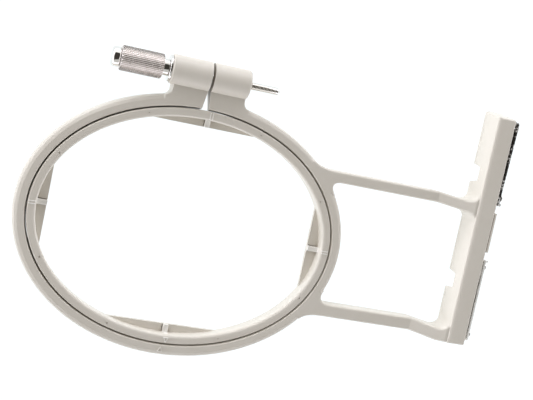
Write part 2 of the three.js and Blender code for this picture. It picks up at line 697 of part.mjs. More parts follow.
/** The least gap between one curl of a coil and the next, measured on points of its centre line. */
function leastCurlGap(line) {
  const points = line.getPoints(SPRING_CURLS * STEPS_PER_CURL);
  const apart = (STEPS_PER_CURL * 3) / 4;
  let least = Infinity;
  points.forEach((point, i) => {
    points.slice(i + apart).forEach((other) => {
      least = Math.min(least, point.distanceTo(other) - SPRING_WIRE);
    });
  });
  return least;
}

function latchSpring(side) {
  const ends = [ribY + SPRING_WIRE / 2 + SLIP, lugY - SPRING_WIRE / 2 - SLIP];
  const line = new CoilLine(...ends.map((distance) => COUPLING_OFFSET + side * distance));
  const wire = new THREE.Shape();
  for (let i = 0; i < WIRE_SIDES; i++) {
    const angle = (2 * Math.PI * i) / WIRE_SIDES;
    const [u, v] = [(SPRING_WIRE / 2) * Math.cos(angle), (SPRING_WIRE / 2) * Math.sin(angle)];
    if (i === 0) wire.moveTo(u, v);
    else wire.lineTo(u, v);
  }
  console.log("least gap between a spring's curls, mm:", leastCurlGap(line).toFixed(2));
  return solid(new THREE.ExtrudeGeometry(wire, { steps: SPRING_CURLS * STEPS_PER_CURL, extrudePath: line }));
}

function sliderScrew(side, distance) {
  const y = COUPLING_OFFSET + side * distance;
  const headX = stripX1 + SEAT;
  const shank = rodX(SLIDER_SCREW_RADIUS, channelX1 - SLIDER_SCREW_BOSS, headX + CUT / 2, y, sliderScrewZ);
  return shank.add(rodX(SLIDER_HEAD_RADIUS, headX, headX + SLIDER_HEAD_HEIGHT, y, sliderScrewZ));
}

/** The plate under the bar, with the studs' openings and countersunk screw holes. */
function couplingCover() {
  const slice = box(0, barOuterX + CUT, barFrontY - CUT, barRearY + rimY, 0, COVER_THICKNESS);
  const holes = Object.values(SIDES).flatMap((side) => {
    const y = COUPLING_OFFSET + side * coverScrewOffset;
    const shank = COVER_SCREW_RADIUS + RUNNING_FIT;
    const head = COVER_HEAD_RADIUS + SEAT;
    return [
      rodZ(shank, shank, 0, COVER_THICKNESS + CUT, channelMiddleX, y),
      rodZ(head, shank, SEAT, SEAT + coverHeadHeight, channelMiddleX, y),
      rodZ(head, head, -CUT, SEAT, channelMiddleX, y),
      studNotch(COUPLING_OFFSET + side * STUD_OFFSET),
    ];
  });
  return cut(barBlock().intersect(slice), ...holes);
}

function coverScrew(side) {
  const y = COUPLING_OFFSET + side * coverScrewOffset;
  const head = rodZ(COVER_HEAD_RADIUS, COVER_SCREW_RADIUS, SEAT, SEAT + coverHeadHeight, channelMiddleX, y);
  const shank = rodZ(COVER_SCREW_RADIUS, COVER_SCREW_RADIUS, SEAT + coverHeadHeight / 2,
    COVER_SCREW_LENGTH, channelMiddleX, y);
  return head.add(shank);
}

const hoop = new THREE.Group();
hoop.position.set(-barMiddleX, -COUPLING_OFFSET, 0);
hoop.add(
  piece("outer_hoop", outerHoop(), plastic),
  piece("inner_hoop", innerHoop(), plastic),
  piece("clamp_screw", clampScrew(), steel),
  piece("clamp_knob", clampKnob(), knurledSteel),
  piece("clamp_washer", clampWasher(), steel),
  piece("clamp_nut", clampNut(), steel),
  piece("coupling_cover", couplingCover(), plastic),
);
for (const [sideName, side] of Object.entries(SIDES)) {
  hoop.add(
    piece(`latch_slider_${sideName}`, latchSlider(side), steel),
    piece(`latch_spring_${sideName}`, latchSpring(side), springSteel),
    piece(`cover_screw_${sideName}`, coverScrew(side), steel),
  );
  for (const [place, distance] of Object.entries(sliderScrewStations)) {
    hoop.add(piece(`slider_screw_${sideName}_${place}`, sliderScrew(side, distance), steel));
  }
}

const part = new THREE.Group();
part.add(hoop);
export default part;
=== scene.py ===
"""Looks of a machine embroidery hoop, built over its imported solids.

Shapes are drawn in millimetres from the middle of the hoop, with +X towards the coupling bar, +Y towards the
clamp and +Z up. Each finished mesh is then put into the row frame, in metres.
"""

import logging
import math
from dataclasses import dataclass
from enum import Enum
from typing import Any, Callable, Iterable, Sequence

import bmesh
import bpy
from mathutils import Matrix, Vector

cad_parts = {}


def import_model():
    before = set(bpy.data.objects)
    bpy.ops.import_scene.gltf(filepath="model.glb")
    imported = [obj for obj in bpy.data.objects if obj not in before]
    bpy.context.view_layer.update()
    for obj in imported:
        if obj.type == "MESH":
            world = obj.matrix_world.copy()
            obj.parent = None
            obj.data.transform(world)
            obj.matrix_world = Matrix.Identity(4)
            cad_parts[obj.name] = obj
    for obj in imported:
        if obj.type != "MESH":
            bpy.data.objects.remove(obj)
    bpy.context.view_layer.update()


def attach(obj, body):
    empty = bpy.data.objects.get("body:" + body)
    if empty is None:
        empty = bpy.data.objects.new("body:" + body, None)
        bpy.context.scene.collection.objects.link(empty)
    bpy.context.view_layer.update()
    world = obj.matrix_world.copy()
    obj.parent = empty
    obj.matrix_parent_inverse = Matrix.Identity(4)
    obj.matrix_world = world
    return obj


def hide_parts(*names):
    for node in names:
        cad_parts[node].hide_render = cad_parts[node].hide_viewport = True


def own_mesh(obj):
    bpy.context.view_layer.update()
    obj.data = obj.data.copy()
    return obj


LOG = logging.getLogger("hoop")
HOOP_TO_ROW = Matrix.Translation((-0.15325, -0.026, 0.0)) @ Matrix.Scale(0.001, 4)
SHARP_FOLD = math.radians(38)
FLAT_WEIGHT = 80  # how much large faces count in the shading of the folds beside them
WELD = 2e-4  # corners nearer than this are joined
SLIVER = 1e-4  # edges shorter than this are taken out
PLAN_ROUND = 1.7  # a block's rounding seen from above, over that of its other edges
REACH = 1.0  # how far a cutter runs past the face it cuts
ROOT = 0.5  # how far an added form runs into the wall that it grows from

Point2 = tuple[float, float]
Point3 = tuple[float, float, float]
Color = tuple[float, float, float, float]
Corner = tuple[float, float, float, float]  # u, v, and how much is rounded off before and after it
Spot = Sequence[float]  # a point as a tuple or a vector
Solid = bpy.types.Object
Material = bpy.types.Material
Tree = bpy.types.NodeTree
Socket = bpy.types.NodeSocket


class Axis(Enum):
    """The direction that a turned or drawn-out shape runs along."""

    X = "X"
    Y = "Y"
    Z = "Z"


class Join(Enum):
    """How one solid is worked into another."""

    ADD = "UNION"
    CUT = "DIFFERENCE"


class Side(Enum):
    """The two mirrored halves of the coupling."""

    REAR = 1
    FRONT = -1

    @property
    def label(self) -> str:
        """The half's name as the nodes spell it."""
        return self.name.lower()


class Kind(Enum):
    """The kinds of value that a node tree takes and gives."""

    FLOAT = "NodeSocketFloat"
    INT = "NodeSocketInt"
    COLOR = "NodeSocketColor"
    VECTOR = "NodeSocketVector"
    ROTATION = "NodeSocketRotation"
    OBJECT = "NodeSocketObject"
    MATERIAL = "NodeSocketMaterial"
    GEOMETRY = "NodeSocketGeometry"


# Outlines


def corner(u: float, v: float, before: float = 0.0, after: float | None = None) -> Corner:
    """A corner whose rounding is even unless its second length is given."""
    return (u, v, before, before if after is None else after)


def arc(start: Spot, control: Spot, end: Spot, steps: int = 10) -> list[Point2]:
    """A smooth bend from one point to another towards a control point.

    Args:
        start: Where it starts.
        control: The point it bends towards.
        end: Where it ends.
        steps: Edges along it.

    Returns:
        The points from start to end.
    """
    a, b, c = Vector(start), Vector(control), Vector(end)
    shares = [k / steps for k in range(steps + 1)]
    bend = [a * (1 - s) ** 2 + b * (2 * s * (1 - s)) + c * s**2 for s in shares]
    return [(p.x, p.y) for p in bend]


def softened(corners: Iterable[Corner], steps: int = 4) -> list[Point2]:
    """Rounds the corners of a closed outline.

    Args:
        corners: Corners with the lengths that their rounding takes before and after them.
        steps: Edges in each rounding.

    Returns:
        The outline's points.
    """
    known = list(corners)
    points: list[Point2] = []
    for i, (u, v, before, after) in enumerate(known):
        if before <= 0 and after <= 0:
            points.append((u, v))
            continue
        here = Vector((u, v))
        back = Vector(known[i - 1][:2]) - here
        ahead = Vector(known[(i + 1) % len(known)][:2]) - here
        points += arc(here + back.normalized() * before, here, here + ahead.normalized() * after, steps)
    return points


def about(middle: float, half: float) -> Point2:
    """The ends of a length, from its middle and its half."""
    return (middle - half, middle + half)


def rectangle(u: Spot, v: Spot, *rounding: float, steps: int = 4) -> list[Point2]:
    """An upright rectangle with rounded corners.

    Args:
        u: Its two ends along the first axis.
        v: Its two ends along the second.
        rounding: One length for all corners, or one for each, round from the first ends.
        steps: Edges in each rounding.

    Returns:
        The outline's points.
    """
    spots = ((u[0], v[0]), (u[1], v[0]), (u[1], v[1]), (u[0], v[1]))
    lengths = rounding if len(rounding) == len(spots) else rounding * len(spots)
    return softened([corner(*spot, length) for spot, length in zip(spots, lengths)], steps)


def inset(outline: Sequence[Point2], distance: float) -> list[Point2]:
    """Moves a closed outline inwards.

    Args:
        outline: The points in order, either way round.
        distance: How far its edges move.

    Returns:
        As many points as before.
    """
    if distance == 0:
        return list(outline)
    points = [Vector(p) for p in outline]
    area = sum(p.x * q.y - q.x * p.y for p, q in zip(points, points[1:] + points[:1]))
    turn = 1 if area > 0 else -1
    sharpest = 0.35
    moved: list[Point2] = []
    for i, here in enumerate(points):
        before = (here - points[i - 1]).normalized()
        after = (points[(i + 1) % len(points)] - here).normalized()
        first = Vector((-before.y, before.x)) * turn
        second = Vector((-after.y, after.x)) * turn
        mitre = (first + second) * (distance / max(sharpest, 1 + first.dot(second)))
        moved.append((here.x + mitre.x, here.y + mitre.y))
    return moved


def edge_levels(low: float, high: float, low_round: float, high_round: float, steps: int = 3) -> list[Point2]:
    """The insets and heights of a plate with rounded lower and upper edges.

    Args:
        low: Where the plate starts along its axis.
        high: Where it ends.
        low_round: The rounding of its lower edge.
        high_round: The rounding of its upper edge.
        steps: Edges in each rounding.

    Returns:
        Pairs of inset and place along the axis, from low to high.
    """
    bends = [math.pi / 2 * k / steps for k in range(steps + 1)]
    levels = [(low_round * (1 - math.sin(a)), low + low_round * (1 - math.cos(a))) for a in bends]
    tops = [(high_round * (1 - math.sin(a)), high - high_round * (1 - math.cos(a))) for a in reversed(bends)]
    return (levels if low_round > 0 else [(0.0, low)]) + (tops if high_round > 0 else [(0.0, high)])


def round_ends(low: float, high: float, radius: float, rounding: Point2, steps: int = 3) -> list[Point2]:
    """The stations of a round piece whose two ends are rounded."""
    return [(along, radius - by) for by, along in edge_levels(low, high, *rounding, steps)]


def full_turn(steps: int) -> list[float]:
    """Even angles round a circle."""
    return [2 * math.pi * k / steps for k in range(steps)]


# Solids


def link(name: str, data: bpy.types.ID) -> Solid:
    """Makes an object of some data and puts it into the scene.

    Args:
        name: The object's name.
        data: Its mesh, light or camera.

    Returns:
        The new object.
    """
    obj = bpy.data.objects.new(name, data)
    bpy.context.scene.collection.objects.link(obj)
    return obj


def skin(name: str, rings: Sequence[Sequence[Point3]], looped: bool = False) -> Solid:
    """Covers a row of closed rings that have the same number of points.

    Args:
        name: The object's name.
        rings: The rings in order.
        looped: Whether the last ring joins the first. Otherwise both ends are capped.

    Returns:
        The closed object, with its faces outwards.
    """
    bm = bmesh.new()
    rows = [[bm.verts.new(point) for point in ring] for ring in rings]
    pairs = list(zip(rows, rows[1:]))
    if looped:
        pairs.append((rows[-1], rows[0]))
    for low, high in pairs:
        for i, vert in enumerate(low):
            j = (i + 1) % len(low)
            bm.faces.new((vert, low[j], high[j], high[i]))
    if not looped:
        bm.faces.new(rows[0][::-1])
        bm.faces.new(rows[-1])
    bmesh.ops.recalc_face_normals(bm, faces=bm.faces)
    mesh = bpy.data.meshes.new(name)
    bm.to_mesh(mesh)
    bm.free()
    return link(name, mesh)


def put(axis: Axis, along: float, u: float, v: float) -> Point3:
    """Places a point of a cross-section on its axis."""
    return {Axis.X: (along, u, v), Axis.Y: (u, along, v), Axis.Z: (u, v, along)}[axis]


def polar(axis: Axis, centre: Point2, along: float, radius: float, angle: float) -> Point3:
    """Places a point at a radius and an angle about an axis."""
    return put(axis, along, centre[0] + radius * math.cos(angle), centre[1] + radius * math.sin(angle))


def drawn(name: str, axis: Axis, outline: Sequence[Point2], levels: Sequence[Point2]) -> Solid:
    """Draws an outline out along an axis, each level with its inset and its place on the axis."""
    return skin(name, [[put(axis, along, u, v) for u, v in inset(outline, by)] for by, along in levels])


def slab(name: str, low: Point3, high: Point3, edge: float = 0.0) -> Solid:
    """A block between two corners, its edges rounded by under 0.58 of its least half width."""
    x, y, z = (sorted(pair) for pair in zip(low, high))
    return drawn(name, Axis.Z, rectangle(x, y, PLAN_ROUND * edge), edge_levels(*z, edge, edge))


def turned(name: str, axis: Axis, centre: Point2, stations: Sequence[Point2], steps: int = 48) -> Solid:
    """A solid round piece with flat ends, from the place along its axis and radius of each ring."""
    angles = full_turn(steps)
    return skin(name, [[polar(axis, centre, along, r, a) for a in angles] for along, r in stations])


def turned_ring(name: str, axis: Axis, centre: Point2, section: Sequence[Point2], steps: int) -> Solid:
    """A round piece with a bore, from a closed section of place along the axis and radius."""
    rings = [[polar(axis, centre, along, r, a) for along, r in section] for a in full_turn(steps)]
    return skin(name, rings, looped=True)


def rod(name: str, axis: Axis, centre: Point2, low: float, high: float, radius: float) -> Solid:
    """A plain round cutter or pin."""
    return turned(name, axis, centre, [(low, radius), (high, radius)])


def flared_hole(centre: Point2, low: float, high: float, radius: float, flare: float) -> Solid:
    """The cutter of a hole along X that widens at both ends.

    Args:
        centre: The hole's axis in Y and Z.
        low: The face it starts at.
        high: The face it ends at.
        radius: Its radius.
        flare: How much wider it is at both faces.

    Returns:
        The cutter.
    """
    wide = radius + flare + REACH
    stations = [(low - REACH, wide), (low + flare, radius), (high - flare, radius), (high + REACH, wide)]
    return turned("hole", Axis.X, centre, stations)


def bake(obj: Solid) -> Solid:
    """Puts what an object's modifiers make into its mesh, and takes the modifiers off.

    Args:
        obj: The object.

    Returns:
        The same object.
    """
    graph = bpy.context.evaluated_depsgraph_get()
    made = bpy.data.meshes.new_from_object(obj.evaluated_get(graph))
    old = obj.data
    obj.modifiers.clear()
    obj.data = made
    bpy.data.meshes.remove(old)
    return obj


def discard(*objects: Solid) -> None:
    """Removes helper objects and their meshes.

    Args:
        objects: The helpers.
    """
    for obj in objects:
        mesh = obj.data
        bpy.data.objects.remove(obj)
        bpy.data.meshes.remove(mesh)


def work(target: Solid, how: Join, *tools: Solid) -> Solid:
    """Joins solids to a piece, or cuts them from it, and removes them.

    Args:
        target: The piece that is changed.
        how: Whether the tools are added or cut.
        tools: The other solids.

    Returns:
        The piece.
    """
    for tool in tools:
        step = target.modifiers.new(tool.name, "BOOLEAN")
        step.operation = how.value
        step.solver = "EXACT"
        step.object = tool
    bake(target)
    discard(*tools)
    return target


def merged(first: Solid, *others: Solid) -> Solid:
    """Puts several closed meshes into one object.

    Args:
        first: The object that keeps its name.
        others: The objects that go into it and are removed.

    Returns:
        The first object.
    """
    bm = bmesh.new()
    for obj in (first, *others):
        bm.from_mesh(obj.data)
    bm.to_mesh(first.data)
    bm.free()
    discard(*others)
    return first


def settle(obj: Solid, name: str) -> Solid:
    """Cleans a finished piece, puts it into the row frame and smooths it between its sharp folds.

    Args:
        obj: A piece drawn in millimetres.
        name: Its final name.

    Returns:
        The same object.
    """
    bm = bmesh.new()
    bm.from_mesh(obj.data)
    bmesh.ops.remove_doubles(bm, verts=bm.verts, dist=WELD)
    bmesh.ops.dissolve_degenerate(bm, edges=bm.edges, dist=SLIVER)
    bmesh.ops.transform(bm, matrix=HOOP_TO_ROW, verts=bm.verts)
    for edge in bm.edges:
        edge.smooth = len(edge.link_faces) == 2 and edge.calc_face_angle(0.0) < SHARP_FOLD
    for face in bm.faces:
        face.smooth = True
    bm.to_mesh(obj.data)
    bm.free()
    obj.name = obj.data.name = name
    step = obj.modifiers.new("even_faces", "WEIGHTED_NORMAL")
    step.keep_sharp = True
    step.weight = FLAT_WEIGHT
    bake(obj).data.name = name
    return obj


def lighten(obj: Solid, raised: Callable[[Vector], bool]) -> Solid:
    """Notes on a settled piece which of its corners belong to raised marks, which get a painted highlight.

    Args:
        obj: The piece, in the row frame.
        raised: Tells it of a place in millimetres from the hoop's middle.

    Returns:
        The same object.
    """
    back = HOOP_TO_ROW.inverted()
    values = [float(raised(back @ vert.co)) for vert in obj.data.vertices]
    obj.data.attributes.new("raised", "FLOAT", "POINT").data.foreach_set("value", values)
    return obj


def fit(obj: Solid, body: str, nodes: Sequence[str], finish: Material) -> Solid:
    """Dresses a finished piece and ties it to the frame.

    Args:
        obj: The piece, in the row frame.
        body: The body it rides on.
        nodes: The nodes it stands for.
        finish: Its material.

    Returns:
        The piece.
    """
    obj.data.materials.clear()
    obj.data.materials.append(finish)
    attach(obj, body)
    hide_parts(*nodes)
    LOG.info("%s: %d faces, rides on %s", obj.name, len(obj.data.polygons), body)
    return obj


# Node trees


class TreeWriter:
    """Adds nodes to a tree and joins them."""

    def __init__(self, tree: Tree) -> None:
        """Starts on an empty or existing tree."""
        self.tree = tree

    def add(self, kind: str, sockets: dict[Any, Any] | None = None, **settings: Any) -> bpy.types.Node:
        """Adds a node.

        Args:
            kind: The node's type.
            sockets: Its inputs by name or number, each a value or another node's output.
            settings: The node's own properties.

        Returns:
            The new node.
        """
        node = self.tree.nodes.new(kind)
        for key, value in settings.items():
            setattr(node, key, value)
        for key, value in (sockets or {}).items():
            self.feed(node.inputs[key], value)
        return node

    def feed(self, socket: Socket, value: Any) -> None:
        """Links an output to a socket, or sets the socket's value.

        Args:
            socket: The input.
            value: A plain value or another node's output.
        """
        if isinstance(value, Socket):
            self.tree.links.new(value, socket)
        else:
            socket.default_value = value

    def socket(self, label: str, kind: Kind, way: str = "INPUT") -> None:
        """Gives the tree an input or output of its own."""
        self.tree.interface.new_socket(label, in_out=way, socket_type=kind.value)

    def math(self, operation: str, first: Any, second: Any = 0.0) -> Socket:
        """The result of a Math node."""
        return self.add("ShaderNodeMath", {0: first, 1: second}, operation=operation).outputs[0]

    def times(self, first: Any, second: Any) -> Socket:
        """The product of two values."""
        return self.math("MULTIPLY", first, second)

    def dot(self, first: Any, second: Any) -> Socket:
        """The dot product of two vectors."""
        product = self.add("ShaderNodeVectorMath", {0: first, 1: second}, operation="DOT_PRODUCT")
        return product.outputs["Value"]

    def span(self, value: Any, low: float, high: float) -> Socket:
        """Stretches the part of a value between two limits to 0 and 1."""
        limits = {"Value": value, "From Min": low, "From Max": high}
        return self.add("ShaderNodeMapRange", limits, clamp=True).outputs[0]

    def mixed(self, share: Any, first: Any, second: Any) -> Socket:
        """A colour between two others."""
        return self.add("ShaderNodeMix", {0: share, 6: first, 7: second}, data_type="RGBA").outputs[2]


class GeometryRecipe(TreeWriter):
    """A Geometry Nodes tree with named inputs that is run once on a host mesh."""

    def __init__(self, name: str, inputs: dict[str, Kind]) -> None:
        """Makes the tree's sockets.

        Args:
            name: The tree's name.
            inputs: Its inputs, besides the host's geometry and the finish.
        """
        super().__init__(bpy.data.node_groups.new(name, "GeometryNodeTree"))
        for label, kind in {"Geometry": Kind.GEOMETRY, **inputs, "Finish": Kind.MATERIAL}.items():
            self.socket(label, kind)
        self.socket("Geometry", Kind.GEOMETRY, "OUTPUT")
        self.given = self.add("NodeGroupInput").outputs

    def close(self, geometry: Socket) -> None:
        """Ends the tree: makes the copies real and gives them their finish.

        Args:
            geometry: What the tree has made.
        """
        real = self.add("GeometryNodeRealizeInstances", {"Geometry": geometry})
        finish = {"Geometry": real.outputs[0], "Material": self.given["Finish"]}
        dressed = self.add("GeometryNodeSetMaterial", finish)
        self.add("NodeGroupOutput", {"Geometry": dressed.outputs[0]})

    def run(self, host: Solid, values: dict[str, Any]) -> Solid:
        """Runs the tree on a host object and keeps the result as its plain mesh.

        Args:
            host: The object whose mesh goes in.
            values: The other inputs by name.

        Returns:
            The host with its new mesh.
        """
        step = host.modifiers.new(self.tree.name, "NODES")
        step.node_group = self.tree
        for item in self.tree.interface.items_tree:
            if item.in_out == "INPUT" and item.name in values:
                step[item.identifier] = values[item.name]
        return bake(host)


class RoundCopies(GeometryRecipe):
    """Copies of the host turned evenly about an X axis."""

    def __init__(self) -> None:
        """Builds the tree."""
        super().__init__("round_copies", {"Count": Kind.INT, "Axis Point": Kind.VECTOR})
        count = self.given["Count"]
        spots = self.add("GeometryNodePoints", {"Count": count, "Position": self.given["Axis Point"]})
        step = self.math("DIVIDE", 2 * math.pi, count)
        angle = self.times(self.add("GeometryNodeInputIndex").outputs[0], step)
        euler = self.add("ShaderNodeCombineXYZ", {"X": angle})
        turn = self.add("FunctionNodeEulerToRotation", {0: euler.outputs[0]})
        copies = self.add(
            "GeometryNodeInstanceOnPoints",
            {"Points": spots.outputs[0], "Instance": self.given["Geometry"], "Rotation": turn.outputs[0]},
        )
        self.close(copies.outputs[0])


class PlacedCopies(GeometryRecipe):
    """Copies of one object on the host's points."""

    def __init__(self) -> None:
        """Builds the tree."""
        super().__init__("placed_copies", {"Pattern": Kind.OBJECT})
        pattern = self.add("GeometryNodeObjectInfo", {"Object": self.given["Pattern"]})
        spread = {"Points": self.given["Geometry"], "Instance": pattern.outputs["Geometry"]}
        self.close(self.add("GeometryNodeInstanceOnPoints", spread).outputs[0])


class WoundWire(GeometryRecipe):
    """Wire wound into a coil from a start, closer at its ends."""

    def __init__(self) -> None:
        """Builds the tree."""
        floats = ("Turns", "Coil Radius", "Wire Radius", "Length", "Closing")
        kinds = {label: Kind.FLOAT for label in floats}
        kinds |= {"Steps": Kind.INT, "Wire Sides": Kind.INT, "Start": Kind.VECTOR, "Direction": Kind.ROTATION}
        super().__init__("wound_wire", kinds)
        given = self.given
        line = self.add(
            "GeometryNodeCurveSpiral",
            {
                "Resolution": given["Steps"],
                "Rotations": given["Turns"],
                "Start Radius": given["Coil Radius"],
                "End Radius": given["Coil Radius"],
                "Height": given["Length"],
            },
        )
        share = self.add("GeometryNodeSplineParameter").outputs["Factor"]
        swing = self.math("SINE", self.times(share, 2 * math.pi))
        close = self.times(given["Closing"], self.math("DIVIDE", swing, 2 * math.pi))
        rise = self.times(self.math("SUBTRACT", share, close), given["Length"])
        spot = self.add("GeometryNodeInputPosition").outputs[0]
        parts = self.add("ShaderNodeSeparateXYZ", {0: spot}).outputs
        lifted = self.add("ShaderNodeCombineXYZ", {0: parts[0], 1: parts[1], 2: rise}).outputs[0]
        eased = self.add("GeometryNodeSetPosition", {"Geometry": line.outputs[0], "Position": lifted})
        upright = self.add("GeometryNodeSetCurveNormal", {"Curve": eased.outputs[0]}, mode="Z_UP")
        section = {"Resolution": given["Wire Sides"], "Radius": given["Wire Radius"]}
        wire = self.add("GeometryNodeCurvePrimitiveCircle", section)
        along = {"Curve": upright.outputs[0], "Profile Curve": wire.outputs[0], "Fill Caps": True}
        body = self.add("GeometryNodeCurveToMesh", along)
        place = {"Geometry": body.outputs[0], "Translation": given["Start"], "Rotation": given["Direction"]}
        self.close(self.add("GeometryNodeTransform", place).outputs[0])

    def wind(self, name: str, values: dict[str, Any]) -> Solid:
        """A coil of its own."""
        return self.run(link(name, bpy.data.meshes.new(name)), values)


class ShaderRecipe(TreeWriter):
    """A shader node group that several finishes share."""

    def __init__(self, name: str, inputs: dict[str, Kind], output: Kind) -> None:
        """Makes the group's sockets.

        Args:
            name: The group's name.
            inputs: Its inputs.
            output: What it gives.
        """
        super().__init__(bpy.data.node_groups.new(name, "ShaderNodeTree"))
        for label, kind in inputs.items():
            self.socket(label, kind)
        self.socket("Result", output, "OUTPUT")
        self.given = self.add("NodeGroupInput").outputs
        self.place = self.add("ShaderNodeTexCoord").outputs["Object"]

    def close(self, result: Socket) -> Tree:
        """Ends the group with its one output."""
        self.add("NodeGroupOutput", {0: result})
        return self.tree

    def noise(self, place: Any, scale: Any, detail: float = 2.0) -> Socket:
        """A noise value of a given scale."""
        return self.add("ShaderNodeTexNoise", {"Vector": place, "Scale": scale, "Detail": detail}).outputs[0]


class SurfaceEffects:
    """The shader groups, built once."""

    def __init__(self) -> None:
        """Builds every group."""
        self.cloudy_tone = self._cloudy_tone()
        self.fine_grain = self._fine_grain()
        self.rub_marks = self._rub_marks()
        self.lathe_lines = self._lathe_lines()
        self.specks = self._specks()
        self.edge_wear = self._edge_wear()
        self.crevice = self._crevice()
        self.raised_tone = self._raised_tone()

    @staticmethod
    def _cloudy_tone() -> Tree:
        """Soft patches of a second colour.

        Returns:
            The group, which gives a colour.
        """
        inputs = {"Base": Kind.COLOR, "Shade": Kind.COLOR, "Patch Scale": Kind.FLOAT}
        group = ShaderRecipe("cloudy_tone", inputs, Kind.COLOR)
        scale = group.given["Patch Scale"]
        broad = group.noise(group.place, scale, 3.0)
        fine = group.noise(group.place, group.times(scale, 9.0))
        cloud = group.math("ADD", group.times(broad, 0.7), group.times(fine, 0.3))
        share = group.span(cloud, 0.36, 0.64)
        return group.close(group.mixed(share, group.given["Base"], group.given["Shade"]))

    @staticmethod
    def _fine_grain() -> Tree:
        """A fine moulded or blasted grain on a slow swell.

        Returns:
            The group, which gives a height.
        """
        group = ShaderRecipe("fine_grain", {"Grain Scale": Kind.FLOAT}, Kind.FLOAT)
        scale = group.given["Grain Scale"]
        swell = group.noise(group.place, group.times(scale, 0.04), 1.0)
        return group.close(group.math("ADD", group.noise(group.place, scale, 3.0), group.times(swell, 1.6)))

    @staticmethod
    def _rub_marks() -> Tree:
        """Thin crossing marks, such as handling leaves.

        Returns:
            The group, which gives a mask.
        """
        group = ShaderRecipe("rub_marks", {"Mark Scale": Kind.FLOAT, "Amount": Kind.FLOAT}, Kind.FLOAT)
        lines = []
        for turn, stretch in ((0.5, (1.0, 0.06, 0.3)), (2.2, (0.05, 1.0, 0.3))):
            lie = {"Vector": group.place, "Rotation": (0.0, 0.0, turn), "Scale": stretch}
            along = group.add("ShaderNodeMapping", lie).outputs[0]
            lines.append(group.span(group.noise(along, group.given["Mark Scale"], 4.0), 0.6, 0.72))
        patches = group.span(group.noise(group.place, 45.0, 1.0), 0.45, 0.7)
        worn = group.times(group.math("MAXIMUM", *lines), patches)
        return group.close(group.times(worn, group.given["Amount"]))

    @staticmethod
    def _edge_wear() -> Tree:
        """Painted highlight along folds, with some wear, broken up a little.

        Returns:
            The group, which gives a mask.
        """
        group = ShaderRecipe("edge_wear", {"Width": Kind.FLOAT, "Amount": Kind.FLOAT}, Kind.FLOAT)
        rounded = group.add("ShaderNodeBevel", {"Radius": group.given["Width"]}, samples=6).outputs[0]
        same = group.dot(rounded, group.add("ShaderNodeNewGeometry").outputs["Normal"])
        fold = group.span(group.math("SUBTRACT", 1.0, same), 0.01, 0.12)
        uneven = group.math("ADD", group.times(group.noise(group.place, 260.0, 3.0), 0.6), 0.5)
        return group.close(group.times(group.times(fold, uneven), group.given["Amount"]))

    @staticmethod
    def _raised_tone() -> Tree:
        """A painted highlight: a lighter colour on raised marks.

        Returns:
            The group, which gives a colour.
        """
        group = ShaderRecipe("raised_tone", {"Base": Kind.COLOR, "Light": Kind.COLOR}, Kind.COLOR)
        mask = group.add("ShaderNodeAttribute", attribute_name="raised").outputs["Fac"]
        return group.close(group.mixed(mask, group.given["Base"], group.given["Light"]))

    @staticmethod
    def _crevice() -> Tree:
        """Painted shade in narrow gaps, where little light comes in.

        Returns:
            The group, which gives a mask.
        """
        group = ShaderRecipe("crevice", {"Reach": Kind.FLOAT, "Amount": Kind.FLOAT}, Kind.FLOAT)
        reach = {"Distance": group.given["Reach"]}
        clear = group.add("ShaderNodeAmbientOcclusion", reach, samples=12, only_local=True).outputs["AO"]
        closed = group.span(group.math("SUBTRACT", 1.0, clear), 0.55, 0.85)
        return group.close(group.times(closed, group.given["Amount"]))

    @staticmethod
    def _specks() -> Tree:
        """Small scattered specks.

        Returns:
            The group, which gives a mask.
        """
        inputs = {label: Kind.FLOAT for label in ("Speck Scale", "Size", "Amount")}
        group = ShaderRecipe("specks", inputs, Kind.FLOAT)
        scale = group.given["Speck Scale"]
        cells = group.add("ShaderNodeTexVoronoi", {"Vector": group.place, "Scale": scale})
        inside = group.math("SUBTRACT", group.given["Size"], cells.outputs["Distance"])
        pick = group.span(group.noise(group.place, group.times(scale, 0.3)), 0.42, 0.5)
        mask = group.times(group.span(inside, 0.0, 0.12), pick)
        return group.close(group.times(mask, group.given["Amount"]))

    @staticmethod
    def _lathe_lines() -> Tree:
        """Fine turning lines about an X axis.

        Returns:
            The group, which gives a height.
        """
        group = ShaderRecipe("lathe_lines", {"Line Scale": Kind.FLOAT, "Axis Point": Kind.VECTOR}, Kind.FLOAT)
        ends = {0: group.place, 1: group.given["Axis Point"]}
        away = group.add("ShaderNodeVectorMath", ends, operation="SUBTRACT").outputs[0]
        parts = group.add("ShaderNodeSeparateXYZ", {0: away}).outputs
        flat = group.add("ShaderNodeCombineXYZ", {1: parts[1], 2: parts[2]}).outputs[0]
        radius = group.add("ShaderNodeVectorMath", {0: flat}, operation="LENGTH").outputs["Value"]
        travel = group.math("ADD", parts[0], radius)
        line = {"W": travel, "Scale": group.given["Line Scale"], "Detail": 3.0}
        return group.close(group.add("ShaderNodeTexNoise", line, noise_dimensions="1D").outputs[0])


# Finishes


@dataclass(frozen=True)
class Relief:
    """A fine relief: how many features a metre, how strong it is and how deep, in metres."""

    scale: float
    strength: float
    depth: float


